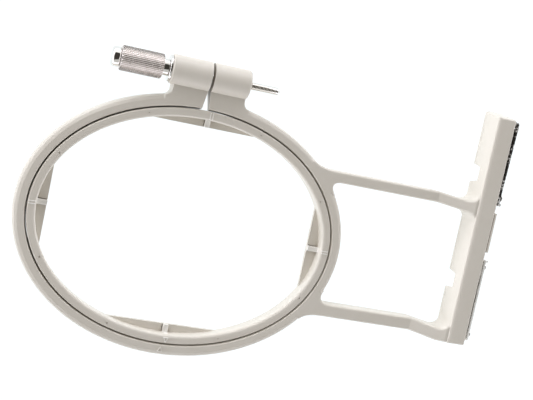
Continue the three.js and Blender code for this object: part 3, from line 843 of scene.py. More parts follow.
class Finish:
    """What every finish shares: a material with one shader and groups placed in it."""

    def __init__(self, name: str, effects: SurfaceEffects | None = None) -> None:
        """Starts an empty material.

        Args:
            name: The material's name.
            effects: The shared shader groups, if it has any of them.
        """
        self.material = bpy.data.materials.new(name)
        self.material.use_nodes = True
        self.nodes = TreeWriter(self.material.node_tree)
        self.shader = self.material.node_tree.nodes["Principled BSDF"]
        self.effects = effects

    def group(self, tree: Tree, **values: Any) -> Socket:
        """The output of a shared group.

        Args:
            tree: The group.
            values: Its inputs, whose names have underscores for spaces.

        Returns:
            What it gives.
        """
        node = self.nodes.add("ShaderNodeGroup", node_tree=tree)
        for key, value in values.items():
            self.nodes.feed(node.inputs[key.replace("_", " ")], value)
        return node.outputs[0]

    def set(self, **sockets: Any) -> None:
        """Feeds the shader's sockets, whose names have underscores for spaces."""
        for key, value in sockets.items():
            self.nodes.feed(self.shader.inputs[key.replace("_", " ")], value)

    def rubbed(self, roughness: Point2, scale: float, amount: float = 1.0) -> None:
        """Varies the roughness between two values by rub marks.

        Args:
            roughness: Where it isn't rubbed, and where it is.
            scale: The marks' scale.
            amount: How much they count.
        """
        marks = self.group(self.effects.rub_marks, Mark_Scale=scale, Amount=amount)
        spread = {"Value": marks, "To Min": roughness[0], "To Max": roughness[1]}
        self.set(Roughness=self.nodes.add("ShaderNodeMapRange", spread).outputs[0])

    def raise_by(self, height: Socket, relief: Relief) -> None:
        """Raises the surface by a height."""
        bump = {"Height": height, "Strength": relief.strength, "Distance": relief.depth}
        self.set(Normal=self.nodes.add("ShaderNodeBump", bump).outputs[0])


@dataclass(frozen=True)
class MouldedPlastic:
    """Satin warm grey moulding with a fine grain, a painted highlight with some wear along its folds, painted
    shade in its gaps and a painted highlight on its raised marks.
    """

    base: Color = (0.735, 0.696, 0.627, 1.0)
    shade: Color = (0.712, 0.67, 0.597, 1.0)
    # Near white, painted as a highlight along the folds and on the raised marks.
    edge: Color = (0.95, 0.93, 0.89, 1.0)
    # Dark brown, mixed into narrow gaps as painted shade.
    grime: Color = (0.36, 0.3, 0.22, 1.0)
    patch_scale: float = 32.0
    fold_width: float = 0.00045
    fold_wear: float = 0.9
    gap_reach: float = 0.006
    gap_grime: float = 0.8
    roughness: Point2 = (0.4, 0.56)
    mark_scale: float = 420.0
    marks: float = 0.8
    grain: Relief = Relief(5200.0, 0.14, 0.00002)
    refraction: float = 1.47

    def build(self, effects: SurfaceEffects) -> Material:
        """Makes the material.

        Args:
            effects: The shared shader groups.

        Returns:
            The material.
        """
        made = Finish("moulded_plastic", effects)
        tone = made.group(effects.cloudy_tone, Base=self.base, Shade=self.shade, Patch_Scale=self.patch_scale)
        # Painted highlight along the folds, with some wear.
        sheen_and_wear = made.group(effects.edge_wear, Width=self.fold_width, Amount=self.fold_wear)
        # Painted shade: darker where the piece closes in on itself.
        gaps = made.group(effects.crevice, Reach=self.gap_reach, Amount=self.gap_grime)
        tone = made.nodes.mixed(gaps, made.nodes.mixed(sheen_and_wear, tone, self.edge), self.grime)
        # Painted highlight on the raised marks and the ribs' ridges.
        tone = made.group(effects.raised_tone, Base=tone, Light=self.edge)
        made.set(Base_Color=tone, IOR=self.refraction)
        made.rubbed(self.roughness, self.mark_scale, self.marks)
        made.raise_by(made.group(effects.fine_grain, Grain_Scale=self.grain.scale), self.grain)
        return made.material


@dataclass(frozen=True)
class Steel:
    """Plated, rolled or drawn steel with a fine grain or turning lines, and light specks: wear on most,
    painted glints on the shaded strip.
    """

    name: str
    base: Color
    shade: Color
    patch_scale: float
    roughness: Point2
    mark_scale: float
    relief: Relief
    metal: float = 1.0
    turned_about: Point3 | None = None
    # Light specks: wear on most steels, painted glints on the shaded strip.
    worn: float = 0.0
    worn_tone: Color = (0.8, 0.79, 0.77, 1.0)
    speck_scale: float = 1900.0
    speck_size: float = 0.4

    def build(self, effects: SurfaceEffects) -> Material:
        """Makes the material.

        Args:
            effects: The shared shader groups.

        Returns:
            The material.
        """
        made = Finish(self.name, effects)
        tone = made.group(effects.cloudy_tone, Base=self.base, Shade=self.shade, Patch_Scale=self.patch_scale)
        metal: Any = self.metal
        # Light specks, which are wear and, on the shaded strip, painted glints.
        if self.worn:
            specks = made.group(
                effects.specks, Speck_Scale=self.speck_scale, Size=self.speck_size, Amount=self.worn
            )
            tone = made.nodes.mixed(specks, tone, self.worn_tone)
            metal = made.nodes.times(made.nodes.math("SUBTRACT", 1.0, specks), self.metal)
        made.set(Base_Color=tone, Metallic=metal)
        made.rubbed(self.roughness, self.mark_scale)
        scale = self.relief.scale
        if self.turned_about:
            height = made.group(effects.lathe_lines, Line_Scale=scale, Axis_Point=self.turned_about)
        else:
            height = made.group(effects.fine_grain, Grain_Scale=scale)
        made.raise_by(height, self.relief)
        return made.material


STRIP_GRAIN = Relief(6000.0, 0.2, 0.000015)
TURNED_PLATE = Steel(
    "turned_plate",
    base=(0.86, 0.85, 0.83, 1.0),
    shade=(0.8, 0.785, 0.76, 1.0),
    patch_scale=160.0,
    roughness=(0.06, 0.2),
    mark_scale=900.0,
    relief=Relief(9000.0, 0.12, 0.000012),
    turned_about=(0.0, 0.04815, 0.008),
)
KNURLED_PLATE = Steel(
    "knurled_plate",
    base=(0.84, 0.79, 0.76, 1.0),
    shade=(0.72, 0.67, 0.64, 1.0),
    patch_scale=420.0,
    roughness=(0.26, 0.4),
    mark_scale=1300.0,
    relief=Relief(7000.0, 0.3, 0.00002),
    metal=0.8,
)
# The two latch strips are alike; this copy's near-white colour is a painted highlight.
LIT_STRIP = Steel(
    "bright_strip",
    base=(0.97, 0.965, 0.95, 1),
    shade=(0.9, 0.89, 0.87, 1),
    patch_scale=500.0,
    roughness=(0.16, 0.28),
    mark_scale=1100.0,
    relief=STRIP_GRAIN,
    metal=0.6,
    worn=0.2,
)
# This copy's near-black colour is painted shade on the same kind of strip; its dense light specks are painted
# glints.
SHADED_STRIP = Steel(
    "dark_strip",
    base=(0.03, 0.027, 0.024, 1),
    shade=(0.1, 0.095, 0.09, 1),
    patch_scale=900.0,
    roughness=(0.3, 0.45),
    mark_scale=1100.0,
    relief=STRIP_GRAIN,
    worn=0.85,
    speck_scale=1000.0,
    speck_size=0.55,
)
SPRING_WIRE = Steel(
    "spring_wire",
    base=(0.5, 0.49, 0.47, 1),
    shade=(0.36, 0.35, 0.33, 1),
    patch_scale=700.0,
    roughness=(0.25, 0.4),
    mark_scale=1100.0,
    relief=STRIP_GRAIN,
    worn=0.3,
)


# Pieces


@dataclass(frozen=True)
class HoopFrame:
    """Sizes and forms that several pieces share, in millimetres from the hoop's middle."""

    open_x: float = 71.0
    open_y: float = 53.45
    inner_wall: float = 4.4
    gap: float = 0.7
    outer_wall: float = 5.6
    height: float = 10.0
    centre_offset: float = 2.0
    mark_lift: float = 0.1
    arrow_half: float = 1.4
    arrow_height: float = 2.8
    arrow_hollow: float = 0.5
    arrow_rise: float = 0.3
    arrow_draft: float = 0.08
    screw_y: float = 74.15
    screw_z: float = 8.0
    nut_x: float = 6.4
    nut_length: float = 3.2
    coupling_y: float = 26.0
    bar_x0: float = 148.25
    bar_x1: float = 158.25
    bar_height: float = 16.8
    bar_front: float = -35.0
    bar_rear: float = 85.6
    bar_flare: float = 2.4
    bar_corners: Corner = (0.5, 0.7, 0.7, 1.6)
    channel_x0: float = 149.85
    channel_x1: float = 156.25
    channel_top: float = 14.8
    cover_seat: float = 1.7
    stud_offset: float = 28.8
    notch_foot: float = 4.8
    notch_head: float = 3.55
    notch_top: float = 8.0
    notch_skin: float = 0.15
    cover_station: float = 46.0
    spring_z: float = 9.3
    slider_stations: Point2 = (18.5, 55.0)
    slider_screw_z: float = 13.55
    strip_x0: float = 158.95
    strip_x1: float = 160.35
    strip_top: float = 15.8
    strip_bottom: float = 5.4
    oval_steps: int = 256

    @property
    def rim_x(self) -> float:
        """The outer rim's half length."""
        return self.open_x + self.inner_wall + self.gap + self.outer_wall

    @property
    def rim_y(self) -> float:
        """The outer rim's half width."""
        return self.open_y + self.inner_wall + self.gap + self.outer_wall

    @property
    def channel_middle(self) -> float:
        """The X of the channel's middle."""
        return (self.channel_x0 + self.channel_x1) / 2

    @property
    def screw_axis(self) -> Point2:
        """The clamp screw's axis in Y and Z."""
        return (self.screw_y, self.screw_z)

    def rim_x_at(self, y: float) -> float:
        """The rim's X on the coupling's side at a given Y."""
        return self.rim_x * math.sqrt(1 - (y / self.rim_y) ** 2)

    def rim_y_at(self, x: float) -> float:
        """The rim's Y on the clamp's side at a given X."""
        return self.rim_y * math.sqrt(1 - (x / self.rim_x) ** 2)

    def at(self, side: Side, distance: float) -> float:
        """The Y at a distance from the coupling's middle."""
        return self.coupling_y + side.value * distance

    def slider_centres(self, side: Side) -> list[Point2]:
        """The axes of one half's slider screws in Y and Z."""
        return [(self.at(side, station), self.slider_screw_z) for station in self.slider_stations]

    def block(self, side: Side, x: Point2, away: Point2, z: Point2, edge: float = 0.0) -> Solid:
        """A block on one half, whose ends along Y are given as distances from the coupling's middle."""
        near, far = (self.at(side, distance) for distance in away)
        return slab("block", (x[0], near, z[0]), (x[1], far, z[1]), edge)

    def notch(self, side: Side) -> Solid:
        """The cutter of the notch that lets a stud in, wider at its foot.

        Args:
            side: The half.

        Returns:
            The cutter.
        """
        y, head, top = self.at(side, self.stud_offset), self.notch_head, self.notch_top
        foot = self.notch_foot + (self.notch_foot - head) / top * REACH
        outline = [(y - foot, -REACH), (y + foot, -REACH), (y + head, top), (y - head, top)]
        ends = [(0, self.bar_x0 - REACH), (0, self.channel_x1 - self.notch_skin)]
        return drawn("notch", Axis.X, outline, ends)

    def bar_ring(self, z: float, by: float, hoop_side: float = 1.0) -> list[Point3]:
        """The bar's outline at a height.

        Args:
            z: The height.
            by: How far a rounding draws it in.
            hoop_side: How many times as far on the side towards the hoop.

        Returns:
            The outline's points.
        """
        rear = self.bar_rear + self.bar_flare * (1 - z / self.bar_height)
        across = (self.bar_x0 + by * hoop_side, self.bar_x1 - by)
        along = (self.bar_front + by, rear - by)
        return [(x, y, z) for x, y in rectangle(across, along, *self.bar_corners)]

    def oval(self, name: str, section: Sequence[Point2]) -> Solid:
        """Sweeps a section of distance from the opening and height round the hoop.

        Args:
            name: The object's name.
            section: The closed section.

        Returns:
            The closed ring.
        """
        rings = []
        for a in full_turn(self.oval_steps):
            out = Vector((self.open_y * math.cos(a), self.open_x * math.sin(a))).normalized()
            foot = Vector((self.open_x * math.cos(a), self.open_y * math.sin(a)))
            rings.append([(foot.x + d * out.x, foot.y + d * out.y, z) for d, z in section])
        return skin(name, rings, looped=True)

    def arrow(self, x: float, y: float, tip: int) -> Solid:
        """A raised triangle outline on the hoop's top face.

        Args:
            x: Its middle.
            y: Its middle.
            tip: 1 where it points to the clamp, -1 where it points away.

        Returns:
            The raised mark.
        """
        half, third = self.arrow_half * tip, self.arrow_height / 3 * tip
        top, draft = self.height + self.arrow_rise, self.arrow_draft

        def triangle(share: float) -> list[Point2]:
            """The triangle's corners at a share of its size."""
            foot = y - third * share
            return [(x - half * share, foot), (x + half * share, foot), (x, y + 2 * third * share)]

        raised = drawn("arrow", Axis.Z, triangle(1.0), [(0, self.height - self.arrow_rise), (draft, top)])
        hollow_levels = [(0, 0), (-draft, self.height + REACH)]
        return work(raised, Join.CUT, drawn("hollow", Axis.Z, triangle(self.arrow_hollow), hollow_levels))


@dataclass(frozen=True)
class ArmPlan:
    """One arm: its half, its window edge's Y at the bar, that edge's shift at the ring, its width."""

    side: Side
    window: float
    jog: float
    width: float


@dataclass
class OuterHoop:
    """The split ring with its clamp ears, arms and hollow coupling bar."""

    frame: HoopFrame
    finish: Material
    shoulder: float = 2.2
    lip_width: float = 0.35
    lip_drop: float = 0.9
    foot_gap: float = 0.14
    foot_height: float = 4.2
    barrel_radius: float = 7.15
    left_ear_x: float = -21.7
    right_ear_x: float = 17.1
    barrel_rounding: Point2 = (0.8, 0.8)
    left_neck_inset: float = 2.4
    right_neck_inset: float = 0.4
    neck_fillet: float = 3.0
    slit_left: Point3 = (-3.75, -2.35, -2.6)
    slit_right: Point3 = (0.1, -0.9, -1.3)
    slit_right_foot: Point3 = (1.6, -0.35, -1.9)
    slit_bend: float = 66.4
    arrow_x: float = 0.2
    arrow_light: float = 2.0
    bore_radius: float = 2.3
    bore_flare: float = 0.6
    nut_half: float = 3.65
    nut_slip: float = 0.15
    arms: tuple[ArmPlan, ...] = (
        ArmPlan(Side.REAR, 34.55, 1.55, 5.7),
        ArmPlan(Side.FRONT, -28.4, 2.35, 6.6),
    )
    arm_low: float = 1.0
    arm_top: float = 9.98
    arm_rounding: Point2 = (0.3, 1.3)
    arm_root: Point2 = (3.8, 4.0)
    window_fillet: Point2 = (8.0, 6.5)
    outer_fillet: Point2 = (9.0, 3.2)
    bar_fillet: float = 6.0
    ramp_foot: float = 128.25
    ramp_head: float = 146.75
    ramp_rise: float = 6.02
    ramp_crease: float = 0.15
    bar_soft: float = 2.2
    bar_skin: float = 2.0
    pad_half: float = 10.5
    pad_reach: float = 2.2
    pad_groove: Point2 = (0.45, 0.9)
    pad_draft: float = 0.05
    pad_bevel: Point2 = (1.7, 1.3)
    rib_thickness: float = 1.8
    block_half: float = 3.0
    spigot_radius: float = 1.2
    spigot_length: float = 2.5
    boss_radius: float = 2.1
    boss_height: float = 0.9
    window_ends: Point2 = (20.9, 36.7)
    window_half: float = 2.65
    cover_bore: float = 1.2
    cover_bore_top: float = 10.0
    slider_bore: float = 1.05
    slider_bore_depth: float = 1.9

    def build(self) -> None:
        """Makes the moulding and ties it to the frame."""
        f = self.frame
        hoop = work(self.ring(), Join.ADD, self.neck(), self.barrel())
        work(hoop, Join.CUT, *self.clamp_cuts())
        work(hoop, Join.ADD, *(self.arm(plan) for plan in self.arms))
        clear = slab("clear", (f.channel_x0, f.bar_front, -REACH), (f.bar_x1, f.bar_rear, f.channel_top))
        work(hoop, Join.CUT, clear)
        arrow = f.arrow(self.arrow_x, -(f.rim_y - f.outer_wall / 2), 1)
        work(hoop, Join.ADD, self.bar(), arrow)
        settle(hoop, "outer_hoop_moulding")
        lighten(hoop, lambda spot: spot.z > f.height + f.mark_lift and spot.y < self.arrow_light - f.rim_y)
        fit(hoop, "outer_hoop", ["outer_hoop"], self.finish)

    def ring(self) -> Solid:
        """The ring with its sloped shoulder and a fine lip, closing in on the inner hoop at its foot.

        Returns:
            The whole ring, not yet split.
        """
        f, slope = self.frame, self.shoulder
        inside = f.inner_wall + f.gap
        outside = inside + f.outer_wall
        foot = f.inner_wall + self.foot_gap
        corners = [
            corner(inside, self.foot_height * 2, 0.6),
            corner(foot, self.foot_height, 0.6),
            corner(foot, 0, 0.2),
            corner(outside, 0, 0.4),
            corner(outside, f.height - slope, 0.25),
            corner(outside - slope / 3, f.height - slope / 3, 0.25),
            corner(outside - slope, f.height, 0.25),
            corner(inside + self.lip_width, f.height, 0.3),
            corner(inside, f.height - self.lip_drop, 0.15),
        ]
        return f.oval("ring", softened(corners, 3))

    def neck(self) -> Solid:
        """The flat part of both ears.

        Returns:
            A plate that runs into the ring.
        """
        f, fillet, steps = self.frame, self.neck_fillet, 16
        left = self.left_ear_x + self.left_neck_inset
        right = self.right_ear_x - self.right_neck_inset
        start, end = left - fillet, right + fillet
        along = [start + (end - start) * k / steps for k in range(steps + 1)]
        plan = [(x, f.rim_y_at(x) - f.outer_wall / 2) for x in along]
        plan += arc((end, f.rim_y_at(end)), (right, f.rim_y_at(right)), (right, f.rim_y_at(right) + fillet))
        plan += [(right, f.screw_y), (left, f.screw_y)]
        plan += arc((left, f.rim_y_at(left) + fillet), (left, f.rim_y_at(left)), (start, f.rim_y_at(start)))
        return drawn("neck", Axis.Z, plan, edge_levels(0, f.height, 0.2, 0.5))

    def barrel(self) -> Solid:
        """The round part of both ears."""
        stations = round_ends(self.left_ear_x, self.right_ear_x, self.barrel_radius, self.barrel_rounding, 5)
        return turned("barrel", Axis.X, self.frame.screw_axis, stations, 96)

    def clamp_cuts(self) -> list[Solid]:
        """The tapered slit, the screw's bore and the nut's pocket.

        Returns:
            The cutters.
        """
        f, half, slip = self.frame, self.nut_half, self.nut_slip
        near = f.rim_y - f.outer_wall - f.gap - REACH
        stations = (near, self.slit_bend, f.screw_y + self.barrel_radius + REACH)
        left = list(zip(self.slit_left, stations))[::-1]
        top = f.screw_z + self.barrel_radius + REACH
        slit = []
        for z, right in ((-REACH, self.slit_right_foot), (f.height, self.slit_right), (top, self.slit_right)):
            slit.append([(x, y, z) for x, y in list(zip(right, stations)) + left])
        pocket_low = (f.nut_x - slip, f.screw_y - half, -REACH)
        pocket_high = (f.nut_x + f.nut_length + slip, f.screw_y + half, f.screw_z + half)
        return [
            skin("slit", slit),
            flared_hole(f.screw_axis, self.left_ear_x, self.right_ear_x, self.bore_radius, self.bore_flare),
            slab("pocket", pocket_low, pocket_high),
        ]

    def arm(self, plan: ArmPlan) -> Solid:
        """An arm from the ring to the bar, with a ramp up to it.

        Args:
            plan: Which arm it is. The rear one has a fillet on its outer side at the bar.

        Returns:
            The arm, which runs into the ring and the bar's wall.
        """
        f, side, fillet = self.frame, plan.side.value, self.bar_fillet
        at_bar, at_hoop = plan.window, plan.window + plan.jog
        outer_hoop, outer_bar = at_hoop + side * plan.width, at_bar + side * plan.width
        window_rim = at_hoop - side * self.window_fillet[1]
        outer_rim = outer_hoop + side * self.outer_fillet[1]
        depth, in_bar = self.arm_root[0], f.bar_x0 + self.arm_root[1]
        window_x, outer_x = f.rim_x_at(at_hoop), f.rim_x_at(outer_hoop)
        outline = [(f.rim_x_at(window_rim) - depth, window_rim)]
        bend_end = (window_x + self.window_fillet[0], at_hoop)
        outline += arc((f.rim_x_at(window_rim), window_rim), (window_x, at_hoop), bend_end)
        outline += [(self.ramp_foot, at_hoop)]
        outline += arc((f.bar_x0 - fillet, at_bar), (f.bar_x0, at_bar), (f.bar_x0, at_bar - side * fillet))
        outline += [(in_bar, at_bar - side * fillet)]
        if plan.side is Side.REAR:
            end = (f.bar_x0, outer_bar + fillet)
            outline += [(in_bar, end[1])] + arc(end, (f.bar_x0, outer_bar), (f.bar_x0 - fillet, outer_bar))
        else:
            outline += [(in_bar, outer_bar), (f.bar_x0 - fillet, outer_bar)]
        outline += [(self.ramp_foot, outer_hoop)]
        bend_start = (outer_x + self.outer_fillet[0], outer_hoop)
        outline += arc(bend_start, (outer_x, outer_hoop), (f.rim_x_at(outer_rim), outer_rim))
        outline += [(f.rim_x_at(outer_rim) - depth, outer_rim)]
        levels = edge_levels(self.arm_low, self.arm_top, *self.arm_rounding, 4)
        return self.ramped(drawn("arm", Axis.Z, outline, levels))

    def ramped(self, arm: Solid) -> Solid:
        """Raises a level arm's top towards the bar.

        Args:
            arm: The arm as drawn.

        Returns:
            The same arm.
        """
        bm = bmesh.new()
        bm.from_mesh(arm.data)
        for end in (self.ramp_foot, self.ramp_head):
            for x in about(end, self.ramp_crease):
                whole = bm.verts[:] + bm.edges[:] + bm.faces[:]
                bmesh.ops.bisect_plane(bm, geom=whole, dist=SLIVER, plane_co=(x, 0, 0), plane_no=(1, 0, 0))
        middle = (self.arm_low + self.arm_top) / 2
        for vert in bm.verts:
            share = (vert.co.x - self.ramp_foot) / (self.ramp_head - self.ramp_foot)
            if vert.co.z > middle:
                vert.co.z += self.ramp_rise * min(1.0, max(0.0, share))
        bm.to_mesh(arm.data)
        bm.free()
        return arm

    def bar(self) -> Solid:
        """The hollow bar above its cover, with the pad between the latch sliders.

        Returns:
            The bar with its ribs, bores and notches.
        """
        f = self.frame
        levels = edge_levels(f.cover_seat, f.bar_height, 0.15, 1.0, 5)
        bar = skin("bar", [f.bar_ring(z, by, self.bar_soft) for by, z in levels])
        face, root = f.bar_x1 + self.pad_reach, f.bar_x1 - REACH
        groove, floor = f.bar_x1 + self.pad_groove[0], f.strip_top - self.pad_groove[1]
        profile = softened(
            [
                corner(root, f.strip_bottom),
                corner(face, f.strip_bottom, 0.4),
                corner(face, f.strip_top, *self.pad_bevel),
                corner(groove, f.strip_top, 0.1),
                corner(groove - self.pad_draft, floor),
                corner(root, floor),
            ]
        )
        ends = edge_levels(*about(f.coupling_y, self.pad_half), 0.25, 0.25)
        work(bar, Join.ADD, drawn("pad", Axis.Y, profile, ends))
        low = (f.channel_x0, f.bar_front + self.bar_skin, 0.0)
        high = (f.channel_x1, f.bar_rear - self.bar_skin, f.channel_top)
        work(bar, Join.CUT, slab("channel", low, high))
        work(bar, Join.ADD, *(tool for side in Side for tool in self.channel_ribs(side)))
        return work(bar, Join.CUT, *(tool for side in Side for tool in self.channel_cuts(side)))

    def channel_ribs(self, side: Side) -> list[Solid]:
        """The spring's rib and spigot, the cover screw's block and the slider screws' bosses.

        Args:
            side: The half they are on.

        Returns:
            The forms to add.
        """
        f = self.frame
        across = (f.channel_x0 - ROOT, f.channel_x1 + ROOT)
        tall = (f.cover_seat, f.channel_top + ROOT)
        rib = self.pad_half + self.rib_thickness
        ends = sorted((f.at(side, rib - ROOT), f.at(side, rib + self.spigot_length)))
        boss = (f.channel_x1 - self.boss_height, f.channel_x1 + ROOT, self.boss_radius)
        return [
            f.block(side, across, (self.pad_half, rib), tall),
            f.block(side, across, about(f.cover_station, self.block_half), tall),
            rod("spigot", Axis.Y, (f.channel_middle, f.spring_z), *ends, self.spigot_radius),
            *(rod("boss", Axis.X, centre, *boss) for centre in f.slider_centres(side)),
        ]

    def channel_cuts(self, side: Side) -> list[Solid]:
        """The stud notch, the latch's window and the screw bores.

        Args:
            side: The half they are on.

        Returns:
            The cutters.
        """
        f = self.frame
        through = (f.channel_x1 - REACH, f.bar_x1 + REACH)
        cover = (f.channel_middle, f.at(side, f.cover_station))
        bore = (f.channel_x1 - self.slider_bore_depth, f.bar_x1 + REACH, self.slider_bore)
        return [
            f.notch(side),
            f.block(side, through, self.window_ends, about(f.spring_z, self.window_half)),
            rod("cover_bore", Axis.Z, cover, 0.0, self.cover_bore_top, self.cover_bore),
            *(rod("slider_bore", Axis.X, centre, *bore) for centre in f.slider_centres(side)),
        ]


@dataclass
class InnerHoop:
    """The lift-out ring with its four tabs, ribs and marks."""

    frame: HoopFrame
    finish: Material
    field_x: float = 66.0
    field_y: float = 49.8
    wall_draft: float = 0.6
    rim_chamfer: Point2 = (0.45, 0.5)
    tab_thickness: float = 2.0
    tab_steps: int = 40
    rib_width: float = 2.6
    rib_rise: float = 2.2
    ridge_width: float = 0.65
    ridge_round: float = 0.17
    ridge_lap: float = 0.2
    ridge_light: float = 0.25
    groove_drop: float = 0.22
    core_low: float = 0.25
    core_setback: float = 0.03
    relief_reach: float = 0.4
    relief_lap: float = 0.1
    relief_depth: float = 0.9
    relief_shift: float = 0.3
    line_inner: float = 0.42
    line_outer: float = 0.82
    line_rise: float = 0.22
    line_root: float = 0.8
    line_round: float = 0.1
    line_margin: Point2 = (0.6, 0.45)
    dot_radius: float = 0.5
    dot_depth: float = 0.4
    dot_spots: tuple[Point2, Point2] = ((28.0, 51.7), (65.3, 25.0))

    @property
    def ridge_top(self) -> float:
        """The height of the ribs' ridges."""
        return self.tab_thickness + self.rib_rise

    def build(self) -> None:
        """Makes the moulding and ties it to the frame."""
        f = self.frame
        width, drop = self.rim_chamfer
        corners = [
            corner(self.wall_draft, 0, 0.2),
            corner(f.inner_wall, 0, 0.3),
            corner(f.inner_wall, f.height - drop, 0.12),
            corner(f.inner_wall - width, f.height, 0.12),
            corner(0, f.height, 2.0),
        ]
        hoop = f.oval("inner_ring", softened(corners, 5))
        turns = range(4)
        work(hoop, Join.ADD, *(self.tab(turn) for turn in turns))
        work(hoop, Join.CUT, *(relief for turn in turns for relief in self.reliefs(turn)))
        work(hoop, Join.ADD, *(rib for turn in turns for rib in self.rib(turn)))
        work(hoop, Join.ADD, *(line for turn in turns[:3] for line in self.mark(turn)))
        work(hoop, Join.ADD, f.arrow(f.centre_offset, -(f.open_y + f.inner_wall / 2), -1))
        work(hoop, Join.CUT, *self.dots())
        settle(hoop, "inner_hoop_moulding")
        top, ridge = f.height + f.mark_lift, self.ridge_top
        lighten(hoop, lambda spot: spot.z > top or abs(spot.z - ridge) < self.ridge_light)
        fit(hoop, "inner_hoop", ["inner_hoop"], self.finish)

    def quarter(self, turn: int) -> Point2:
        """The field's edge and the opening's wall on a half axis of the hoop."""
        return (self.field_x, self.frame.open_x) if turn % 2 == 0 else (self.field_y, self.frame.open_y)

    def centred(self, turn: int, made: list[Solid]) -> list[Solid]:
        """Turns forms onto a half axis, those at the long sides a little towards the bar.

        Args:
            turn: The half axis, 0 to 3.
            made: The forms as drawn along X.

        Returns:
            The same forms in place.
        """
        shift = Matrix.Translation((self.frame.centre_offset * (turn % 2), 0, 0))
        for obj in made:
            obj.data.transform(shift @ Matrix.Rotation(turn * math.pi / 2, 4, "Z"))
        return made

    def pair(self, turn: int, x: Point2, y: Point2, z: Point2, edge: float = 0.0) -> list[Solid]:
        """Two like blocks on both sides of a half axis.

        Args:
            turn: The half axis, 0 to 3.
            x: Their ends along it.
            y: Their nearer and farther side.
            z: Their lower and upper face.
            edge: The rounding of their edges.

        Returns:
            The blocks in place.
        """
        spans = ((-y[1], -y[0]), y)
        blocks = [slab("block", (x[0], a, z[0]), (x[1], b, z[1]), edge) for a, b in spans]
        return self.centred(turn, blocks)

    def tab(self, turn: int) -> Solid:
        """A flat tab across one end of the opening.

        Args:
            turn: The half axis, 0 to 3.

        Returns:
            The tab, which runs into the ring.
        """
        f = self.frame
        margin, edge = f.inner_wall / 2, self.quarter(turn)[0]
        far, across = (self.quarter(turn + k)[1] + margin for k in range(2))
        limit = math.acos(edge / far)
        bend = [limit * (2 * k / self.tab_steps - 1) for k in range(self.tab_steps + 1)]
        plan = [(far * math.cos(a), across * math.sin(a)) for a in bend]
        tab = drawn("tab", Axis.Z, plan, edge_levels(0, self.tab_thickness, 0.15, 0.25))
        tab.data.transform(Matrix.Rotation(turn * math.pi / 2, 4, "Z"))
        return tab

    def reliefs(self, turn: int) -> list[Solid]:
        """The fine grooves on both sides of a rib.

        Args:
            turn: The half axis, 0 to 3.

        Returns:
            The cutters.
        """
        start, end = (x + self.relief_shift for x in self.quarter(turn))
        top, half = self.tab_thickness, self.rib_width / 2
        sides = (half - self.relief_lap, half + self.relief_reach)
        return self.pair(turn, (start, end), sides, (top - self.relief_depth, top + REACH))

    def rib(self, turn: int) -> list[Solid]:
        """The rib along a tab's middle: two ridges with a groove between.

        Args:
            turn: The half axis, 0 to 3.

        Returns:
            The core and the ridges.
        """
        edge, wall = self.quarter(turn)
        end, top, lap = wall + self.frame.inner_wall / 2, self.ridge_top, self.ridge_lap
        half = self.rib_width / 2
        inner = half - self.ridge_width
        low = (edge + self.core_setback, -inner - lap, self.core_low)
        core = slab("core", low, (end, inner + lap, top - self.groove_drop))
        ridges = self.pair(turn, (edge, end), (inner, half), (lap, top), self.ridge_round)
        return self.centred(turn, [core]) + ridges

    def mark(self, turn: int) -> list[Solid]:
        """Two fine raised lines across the ring's top face.

        Args:
            turn: The half axis, 0 to 3.

        Returns:
            The lines.
        """
        wall, top = self.quarter(turn)[1], self.frame.height
        ends = (wall + self.line_margin[0], wall + self.frame.inner_wall - self.line_margin[1])
        heights = (top - self.line_root, top + self.line_rise)
        return self.pair(turn, ends, (self.line_inner, self.line_outer), heights, self.line_round)

    def dots(self) -> list[Solid]:
        """The small round pin marks on the top face.

        Returns:
            The cutters.
        """
        low, high = self.frame.height - self.dot_depth, self.frame.height + REACH
        spots = [(x * i, y * j) for x, y in self.dot_spots for i in (1, -1) for j in (1, -1)]
        return [rod("dot", Axis.Z, spot, low, high, self.dot_radius) for spot in spots]


